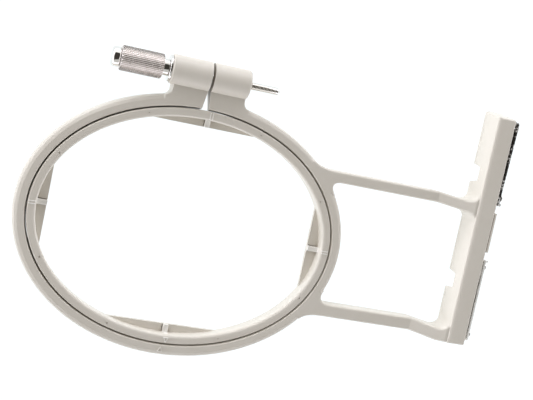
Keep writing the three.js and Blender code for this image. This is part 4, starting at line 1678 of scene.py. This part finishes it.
@dataclass
class ClampSet:
    """The clamp screw with its knurled knob, washer and nut."""

    frame: HoopFrame
    plate: Material
    knurled: Material
    copies: RoundCopies
    wire: WoundWire
    cap_x: float = -50.4
    cap_length: float = 4.2
    cap_radius: float = 4.9
    cap_rounding: Point2 = (1.6, 1.0)
    knob_x: float = -46.1
    knob_length: float = 20.3
    knob_radius: float = 6.1
    core_radius: float = 3.2
    core_slip: float = 0.05
    neck_x: float = -25.7
    neck_radius: float = 4.1
    neck_length: float = 2.7
    neck_rounding: Point2 = (0.25, 0.25)
    washer_x: float = -22.9
    washer_radius: float = 6.5
    washer_bore: float = 2.3
    washer_thickness: float = 1.1
    thread_x: float = -23.0
    thread_radius: float = 2.0
    thread_pitch: float = 0.7
    thread_depth: float = 0.36
    thread_stop: float = 0.8
    tip_x: float = 32.8
    tip_point: Point2 = (0.5, 0.4)
    ridge_count: int = 44
    ridge_height: float = 0.55
    ridge_foot: float = 0.46
    ridge_crest: float = 0.16
    ridge_root: float = 0.12
    ridge_end: float = 0.05
    ridge_margin: float = 0.1
    dash_length: float = 0.5
    dash_dip: float = 0.3
    nut_width: float = 7.0
    nut_bore: float = 2.05
    nut_flare: float = 0.4

    def build(self) -> None:
        """Makes the four pieces and ties them to the frame."""
        pieces = [
            (self.screw(), "clamp_screw_turned", "clamp_screw", "clamp_screw", "plated_steel", self.plate),
            (self.knob(), "clamp_knob_sleeve", "clamp_screw", "clamp_knob", "knurled_steel", self.knurled),
            (self.washer(), "clamp_washer_disc", "screw_carrier", "clamp_washer", "plated_steel", self.plate),
            (self.nut(), "clamp_nut_square", "outer_hoop", "clamp_nut", "plated_steel", self.plate),
        ]
        for obj, name, body, node, slot, finish in pieces:
            fit(settle(obj, name), body, [node], finish)

    def screw(self) -> Solid:
        """The cap, spindle, neck and threaded shank in one.

        Returns:
            The screw with its thread.
        """
        cap_end, neck_end = self.cap_x + self.cap_length, self.neck_x + self.neck_length
        root = self.thread_radius - self.thread_depth
        stations = round_ends(self.cap_x, cap_end, self.cap_radius, self.cap_rounding, 6)
        stations += [(cap_end, self.core_radius), (self.neck_x, self.core_radius)]
        stations += round_ends(self.neck_x, neck_end, self.neck_radius, self.neck_rounding)
        run, fall = self.tip_point
        stations += [(neck_end, root), (self.tip_x - run, root), (self.tip_x, root - fall)]
        screw = turned("screw", Axis.X, self.frame.screw_axis, stations, 96)
        length = self.tip_x - self.thread_stop - self.thread_x
        thread = {
            "Turns": length / self.thread_pitch,
            "Coil Radius": root,
            "Wire Radius": self.thread_depth,
            "Length": length,
            "Closing": 0.0,
            "Steps": 28,
            "Wire Sides": 4,
            "Start": (self.thread_x, *self.frame.screw_axis),
            "Direction": (0.0, math.pi / 2, 0.0),
            "Finish": self.plate,
        }
        return merged(screw, self.wire.wind("thread", thread))

    def knob(self) -> Solid:
        """The sleeve with straight ridges round it.

        Returns:
            The sleeve with both sets of ridges.
        """
        valley = self.knob_radius - self.ridge_height
        ends = (self.knob_x, self.knob_x + self.knob_length)
        section = rectangle(ends, (self.core_radius + self.core_slip, valley), 0.1, 0.1, 0.2, 0.2)
        sleeve = turned_ring("sleeve", Axis.X, self.frame.screw_axis, section, 88)
        return merged(sleeve, *(self.ridges(phase, valley) for phase in range(2)))

    def ridges(self, phase: int, valley: float) -> Solid:
        """Every second ridge of the knob, notched into dashes.

        Args:
            phase: 0 or 1, which of the two sets it is.
            valley: The radius between the ridges.

        Returns:
            The ridges of one set.
        """
        pitch = 2 * math.pi / self.ridge_count
        foot, crest = pitch * valley * self.ridge_foot, pitch * valley * self.ridge_crest
        base, ends = valley - self.ridge_root, valley + self.ridge_end
        low = self.knob_x + self.ridge_margin
        high = self.knob_x + self.knob_length - self.ridge_margin
        count = round((high - low) / self.dash_length)
        turn = Matrix.Rotation(pitch * phase, 2)
        rings = []
        for k in range(count + 1):
            top = ends if k in (0, count) else self.knob_radius - self.dash_dip * ((k + phase) % 2)
            ring = [(-foot, base), (foot, base), (crest, top), (-crest, top)]
            rings.append([(low + (high - low) * k / count, *(turn @ Vector(spot))) for spot in ring])
        axis = (0.0, *self.frame.screw_axis)
        values = {"Count": self.ridge_count // 2, "Axis Point": axis, "Finish": self.knurled}
        return self.copies.run(skin("ridge", rings), values)

    def washer(self) -> Solid:
        """The plain washer with rounded rims.

        Returns:
            The washer.
        """
        ends = (self.washer_x, self.washer_x + self.washer_thickness)
        section = rectangle(ends, (self.washer_bore, self.washer_radius), 0.15, 0.15, 0.2, 0.45)
        return turned_ring("washer", Axis.X, self.frame.screw_axis, section, 96)

    def nut(self) -> Solid:
        """The square nut with a countersunk hole.

        Returns:
            The nut.
        """
        f, half = self.frame, self.nut_width / 2
        end = f.nut_x + f.nut_length
        outline = rectangle(about(f.screw_y, half), about(f.screw_z, half), 0.4)
        nut = drawn("nut", Axis.X, outline, edge_levels(f.nut_x, end, 0.25, 0.25))
        return work(nut, Join.CUT, flared_hole(f.screw_axis, f.nut_x, end, self.nut_bore, self.nut_flare))


@dataclass
class LatchSet:
    """The two latch sliders and the springs behind them."""

    frame: HoopFrame
    strips: dict[Side, Material]
    spring: Material
    wire: WoundWire
    start: float = 14.5
    end: float = 59.0
    inner_corner: float = 0.5
    outer_corner: float = 2.4
    finger_reach: float = 1.0
    finger_edge: float = 0.35
    thickness: float = 1.4
    tongue_low: float = 8.6
    tongue_start: float = 24.4
    tongue_end: float = 36.4
    tongue_edge: float = 0.2
    lug_half: float = 2.35
    lug_gap: float = 1.2
    keyhole: float = 32.0
    keyhole_radius: float = 2.12
    neck_half: float = 1.35
    guide_half: float = 1.15
    guide_round: float = 1.1
    travel: float = 3.2
    slip: float = 0.3
    setback: float = 0.03
    rear_lean: float = 0.022
    coil_radius: float = 1.8
    wire_radius: float = 0.25
    coil_turns: float = 7.0
    coil_closing: float = 0.6
    coil_start: float = 12.7
    coil_end: float = 23.97
    coil_keep: float = 0.731
    coil_anchor: float = 0.0123

    def build(self) -> None:
        """Makes both halves and ties them to the frame."""
        for side in Side:
            slider = settle(self.slider(side), f"latch_strip_{side.label}")
            node = f"latch_slider_{side.label}"
            fit(slider, node, [node], self.strips[side])
            coil = settle(self.coil(side), f"latch_coil_{side.label}")
            fit(coil, "outer_hoop", [f"latch_spring_{side.label}"], self.spring)
            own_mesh(coil)

    def slider(self, side: Side) -> Solid:
        """A strip with a finger tab, guide slots, and a tongue with a keyhole.

        Args:
            side: The half it is on. The rear one leans a little.

        Returns:
            The slider.
        """
        f = self.frame
        y0, y1 = sorted((f.at(side, self.start), f.at(side, self.end)))
        ends = (self.inner_corner, self.outer_corner)
        first, last = ends if side is Side.REAR else ends[::-1]
        heights = (f.strip_bottom, f.strip_top)
        outline = rectangle((y0, y1), heights, first, last, last, first, steps=6)
        strip = drawn("strip", Axis.X, outline, edge_levels(f.strip_x0, f.strip_x1, 0.25, 0.35))
        work(strip, Join.ADD, *self.tabs(side))
        work(strip, Join.CUT, *self.slots(side))
        if side is Side.REAR:
            lean = Matrix.Identity(4)
            lean[0][1], lean[0][3] = self.rear_lean, -self.rear_lean * (y0 + y1) / 2
            strip.data.transform(lean)
        return strip

    def tabs(self, side: Side) -> list[Solid]:
        """The finger tab, the tongue and the spring's lug, set back a hair from each other's faces.

        Args:
            side: The half they are on.

        Returns:
            The forms to add to the strip.
        """
        f, hair = self.frame, self.setback
        tongue_x = f.channel_x0 + self.slip
        return [
            f.block(
                side,
                (f.strip_x0 + self.slip, f.strip_x1 + self.finger_reach),
                (self.start + hair, self.start + self.thickness),
                (f.strip_bottom + hair, f.strip_top - hair),
                self.finger_edge,
            ),
            f.block(
                side,
                (tongue_x, f.strip_x0 + REACH),
                (self.tongue_start, self.tongue_end),
                (self.tongue_low, self.tongue_low + self.thickness),
                self.tongue_edge,
            ),
            f.block(
                side,
                (tongue_x + hair, f.channel_x1 - self.lug_gap),
                (self.tongue_start + hair, self.tongue_start + self.thickness),
                about(f.spring_z, self.lug_half),
                self.tongue_edge,
            ),
        ]

    def slots(self, side: Side) -> list[Solid]:
        """The keyhole in the tongue and the guide slots in the strip.

        Args:
            side: The half they are on.

        Returns:
            The cutters.
        """
        f, half, middle = self.frame, self.guide_half, self.frame.channel_middle
        tall = (self.tongue_low - ROOT, self.tongue_low + self.thickness + ROOT)
        neck = about(middle, self.neck_half)
        cuts = [
            rod("key", Axis.Z, (middle, f.at(side, self.keyhole)), *tall, self.keyhole_radius),
            f.block(side, neck, (f.stud_offset - self.neck_half, self.keyhole), tall),
        ]
        through = [(0, f.strip_x0 - self.slip), (0, f.strip_x1 + self.slip)]
        for station in f.slider_stations:
            ends = sorted((f.at(side, station - half), f.at(side, station + half + self.travel)))
            guide = rectangle(ends, about(f.slider_screw_z, half), self.guide_round)
            cuts.append(drawn("guide", Axis.X, guide, through))
        return cuts

    def coil(self, side: Side) -> Solid:
        """A compression spring with closed end turns.

        Args:
            side: The half it is on.

        Returns:
            The spring.
        """
        f = self.frame
        values = {
            "Turns": self.coil_turns,
            "Coil Radius": self.coil_radius,
            "Wire Radius": self.wire_radius,
            "Length": self.coil_end - self.coil_start,
            "Closing": self.coil_closing,
            "Steps": 40,
            "Wire Sides": 12,
            "Start": (f.channel_middle, f.at(side, self.coil_start), f.spring_z),
            "Direction": (-side.value * math.pi / 2, 0.0, 0.0),
            "Finish": self.spring,
        }
        return self.wire.wind("coil", values)


@dataclass
class CouplingCover:
    """The plate under the bar and all the coupling's screws."""

    frame: HoopFrame
    finish: Material
    plate: Material
    copies: PlacedCopies
    thickness: float = 1.6
    head_radius: float = 2.3
    head_slip: float = 0.1
    head_low: float = 0.1
    head_height: float = 1.2
    shank_radius: float = 1.15
    shank_slip: float = 0.05
    shank_run: float = 1.4
    screw_top: float = 9.0
    screw_point: Point2 = (0.8, 0.5)
    head_rim: float = 0.1
    slider_seat: float = 0.1
    slider_tip: float = -5.1
    slider_shank: float = 1.0
    slider_chamfer: float = 0.2
    slider_head_radius: float = 2.1
    slider_head_height: float = 0.7
    slider_head_rounding: Point2 = (0.1, 0.4)
    cross_half: Point2 = (1.15, 0.24)
    cover_cross: float = 0.7
    slider_cross: float = 0.45

    def build(self) -> None:
        """Makes the cover and two rows of screws, and ties them to the frame."""
        f = self.frame
        cover = settle(self.cover(), "coupling_cover_plate")
        fit(cover, "outer_hoop", ["coupling_cover"], self.finish)
        spots = [(f.channel_middle, f.at(side, f.cover_station), 0.0) for side in Side]
        nodes = [f"cover_screw_{side.label}" for side in Side]
        self.row("cover_screws", self.cover_screw(), spots, nodes)
        seat = f.strip_x1 + self.slider_seat
        spots = [(seat, *centre) for side in Side for centre in f.slider_centres(side)]
        nodes = [f"slider_screw_{side.label}_{place}" for side in Side for place in ("inner", "outer")]
        self.row("slider_screws", self.slider_screw(), spots, nodes)

    def row(self, name: str, pattern: Solid, spots: Sequence[Point3], nodes: Sequence[str]) -> None:
        """Puts copies of a screw at several places and ties them to the frame.

        Args:
            name: The piece's name.
            pattern: The screw at the origin, which is removed.
            spots: Where the copies go.
            nodes: The nodes they stand for.
        """
        mesh = bpy.data.meshes.new(name)
        mesh.from_pydata(spots, [], [])
        screws = self.copies.run(link(name, mesh), {"Pattern": pattern, "Finish": self.plate})
        discard(pattern)
        fit(settle(screws, name), "outer_hoop", nodes, self.plate)

    def cover(self) -> Solid:
        """The plate with the studs' openings and countersunk holes.

        Returns:
            The plate.
        """
        f = self.frame
        cover = skin("cover", [f.bar_ring(z, by) for by, z in edge_levels(0.0, self.thickness, 0.2, 0.1)])
        shank, head = self.shank_radius + self.shank_slip, self.head_radius + self.head_slip
        foot, end = self.head_low + self.head_height, self.thickness + self.shank_run
        seat = [(-REACH, head), (self.head_low, head), (foot, shank), (end, shank)]
        cuts = []
        for side in Side:
            centre = (f.channel_middle, f.at(side, f.cover_station))
            cuts += [turned("seat", Axis.Z, centre, seat), f.notch(side)]
        return work(cover, Join.CUT, *cuts)

    def crossed(self, screw: Solid, axis: Axis, low: float, high: float) -> Solid:
        """Cuts a cross recess into the head of a screw at the origin.

        Args:
            screw: The screw.
            axis: The screw's axis.
            low: Where the recess starts along it.
            high: Where it ends.

        Returns:
            The same screw.
        """
        blades = []
        for u, v in (self.cross_half, self.cross_half[::-1]):
            blades.append(drawn("blade", axis, rectangle((-u, u), (-v, v), 0.0), [(0, low), (0, high)]))
        return work(screw, Join.CUT, *blades)

    def cover_screw(self) -> Solid:
        """A countersunk screw, its head down.

        Returns:
            The screw at the origin.
        """
        low, radius, shank = self.head_low, self.head_radius, self.shank_radius
        rim, (run, tip) = self.head_rim, self.screw_point
        stations = [(low, radius - rim), (low + rim, radius), (low + self.head_height, shank)]
        stations += [(self.screw_top - run, shank), (self.screw_top, tip)]
        screw = turned("cover_screw", Axis.Z, (0.0, 0.0), stations, 40)
        return self.crossed(screw, Axis.Z, -REACH, low + self.cover_cross)

    def slider_screw(self) -> Solid:
        """A pan-head shoulder screw that guides a strip.

        Returns:
            The screw at the origin.
        """
        tip, shank, high = self.slider_tip, self.slider_shank, self.slider_head_height
        stations = [(tip, shank - self.slider_chamfer), (tip + self.slider_chamfer, shank), (0.0, shank)]
        stations += round_ends(0.0, high, self.slider_head_radius, self.slider_head_rounding, 5)
        screw = turned("slider_screw", Axis.X, (0.0, 0.0), stations, 40)
        return self.crossed(screw, Axis.X, high - self.slider_cross, high + REACH)


# Scene


@dataclass
class Studio:
    """The floor, the soft light and the camera."""

    floor_size: float = 6.0
    floor_drop: float = 0.0006
    floor_base: Color = (0.05, 0.05, 0.05, 1.0)
    floor_glow: float = 1.06
    floor_tone: Color = (0.95, 1.0, 1.02, 1.0)
    foot_light: Color = (2.82, 2.78, 2.96, 1.0)
    head_light: Color = (0.79, 0.785, 0.76, 1.0)
    fade: Point2 = (0.18, 0.42)
    wall_gain: Point3 = (-0.2, 0.25, 0.0)
    ceiling_light: Color = (0.05, 0.046, 0.04, 1.0)
    ceiling_edge: float = 0.72
    ceiling_soft: float = 0.015
    ceiling_side: Point3 = (-1.26, 1.0, 0.0)
    ceiling_side_edge: float = -0.69
    ceiling_side_soft: float = 0.02
    key_power: float = 1.5
    key_size: float = 1.2
    key_place: Point3 = (-0.55, 1.55, 0.75)
    key_aim: Point3 = (-0.1, 0.0, 0.0)
    lens: float = 67.54
    sensor: float = 36.0
    camera_place: Point3 = (-0.25409, 0.04051, 0.48186)
    camera_right: Point3 = (0.9437076449, 0.2088087905, 0.2565438948)
    camera_down: Point3 = (0.1758647526, -0.9735998285, 0.1455161938)
    camera_ahead: Point3 = (0.2801561524, -0.0922077159, -0.9555157076)

    def build(self) -> None:
        """Makes the whole setting."""
        self.floor()
        self.sky()
        self.key()
        self.camera()
        bpy.context.scene.view_settings.view_transform = "Standard"

    def floor(self) -> None:
        """A plain pale floor that is lit from within and can be seen through from below."""
        half, z = self.floor_size / 2, -self.floor_drop
        corners = [(-half, -half, z), (half, -half, z), (half, half, z), (-half, half, z)]
        mesh = bpy.data.meshes.new("floor")
        mesh.from_pydata(corners, [], [range(4)])
        floor = link("floor", mesh)
        made = Finish("pale_floor")
        made.set(Base_Color=self.floor_base, Roughness=0.9, Specular_IOR_Level=0.0)
        made.set(Emission_Color=self.floor_tone, Emission_Strength=self.floor_glow)
        nodes = made.nodes
        behind = nodes.add("ShaderNodeNewGeometry").outputs["Backfacing"]
        clear = nodes.add("ShaderNodeBsdfTransparent")
        mix = nodes.add("ShaderNodeMixShader", {0: behind, 1: made.shader.outputs[0], 2: clear.outputs[0]})
        nodes.feed(nodes.tree.nodes["Material Output"].inputs["Surface"], mix.outputs[0])
        floor.data.materials.append(made.material)

    def sky(self) -> None:
        """A light tent, brightest behind the clamp, with a dark opening overhead, straight on one side."""
        world = bpy.data.worlds.new("light_tent")
        bpy.context.scene.world = world
        world.use_nodes = True
        nodes = TreeWriter(world.node_tree)
        direction = nodes.add("ShaderNodeTexCoord").outputs["Generated"]
        height = nodes.add("ShaderNodeSeparateXYZ", {0: direction}).outputs[2]
        across = nodes.dot(direction, self.ceiling_side)
        masks = []
        for value, edge, soft in (
            (height, self.ceiling_edge, self.ceiling_soft),
            (across, self.ceiling_side_edge, self.ceiling_side_soft),
        ):
            masks.append(nodes.span(value, *about(edge, soft)))
        level = nodes.mixed(nodes.span(height, *self.fade), self.foot_light, self.head_light)
        gain = nodes.math("ADD", nodes.dot(direction, self.wall_gain), 1.0)
        walls = nodes.add("ShaderNodeVectorMath", {0: level, "Scale": gain}, operation="SCALE")
        tone = nodes.mixed(nodes.times(*masks), walls.outputs["Vector"], self.ceiling_light)
        nodes.feed(world.node_tree.nodes["Background"].inputs["Color"], tone)

    def key(self) -> None:
        """A broad soft light from the clamp's side."""
        light = bpy.data.lights.new("key", "AREA")
        light.energy, light.shape, light.size = self.key_power, "SQUARE", self.key_size
        lamp = link("key", light)
        lamp.location = self.key_place
        aim = Vector(self.key_aim) - Vector(self.key_place)
        lamp.rotation_euler = aim.to_track_quat("-Z", "Y").to_euler()

    def camera(self) -> None:
        """The camera at the photograph's viewing angle."""
        data = bpy.data.cameras.new("camera")
        data.lens, data.sensor_width, data.sensor_fit = self.lens, self.sensor, "HORIZONTAL"
        data.clip_start, data.clip_end = 0.01, 50.0
        camera = link("camera", data)
        right, down, ahead = (Vector(v) for v in (self.camera_right, self.camera_down, self.camera_ahead))
        turn = Matrix((right, -down, -ahead)).transposed()
        camera.matrix_world = Matrix.Translation(self.camera_place) @ turn.to_4x4()
        bpy.context.scene.camera = camera


def main() -> None:
    """Builds the setting and every piece in order."""
    logging.basicConfig(level=logging.INFO, format="%(name)s: %(message)s")
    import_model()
    effects = SurfaceEffects()
    moulded = MouldedPlastic().build(effects)
    plate = TURNED_PLATE.build(effects)
    frame, wire = HoopFrame(), WoundWire()
    Studio().build()
    OuterHoop(frame, moulded).build()
    InnerHoop(frame, moulded).build()
    ClampSet(frame, plate, KNURLED_PLATE.build(effects), RoundCopies(), wire).build()
    # The rear strip carries painted shade, the front strip a painted highlight.
    strips = {Side.REAR: SHADED_STRIP.build(effects), Side.FRONT: LIT_STRIP.build(effects)}
    LatchSet(frame, strips, SPRING_WIRE.build(effects), wire).build()
    CouplingCover(frame, moulded, plate, PlacedCopies()).build()


if __name__ == "__main__":
    main()
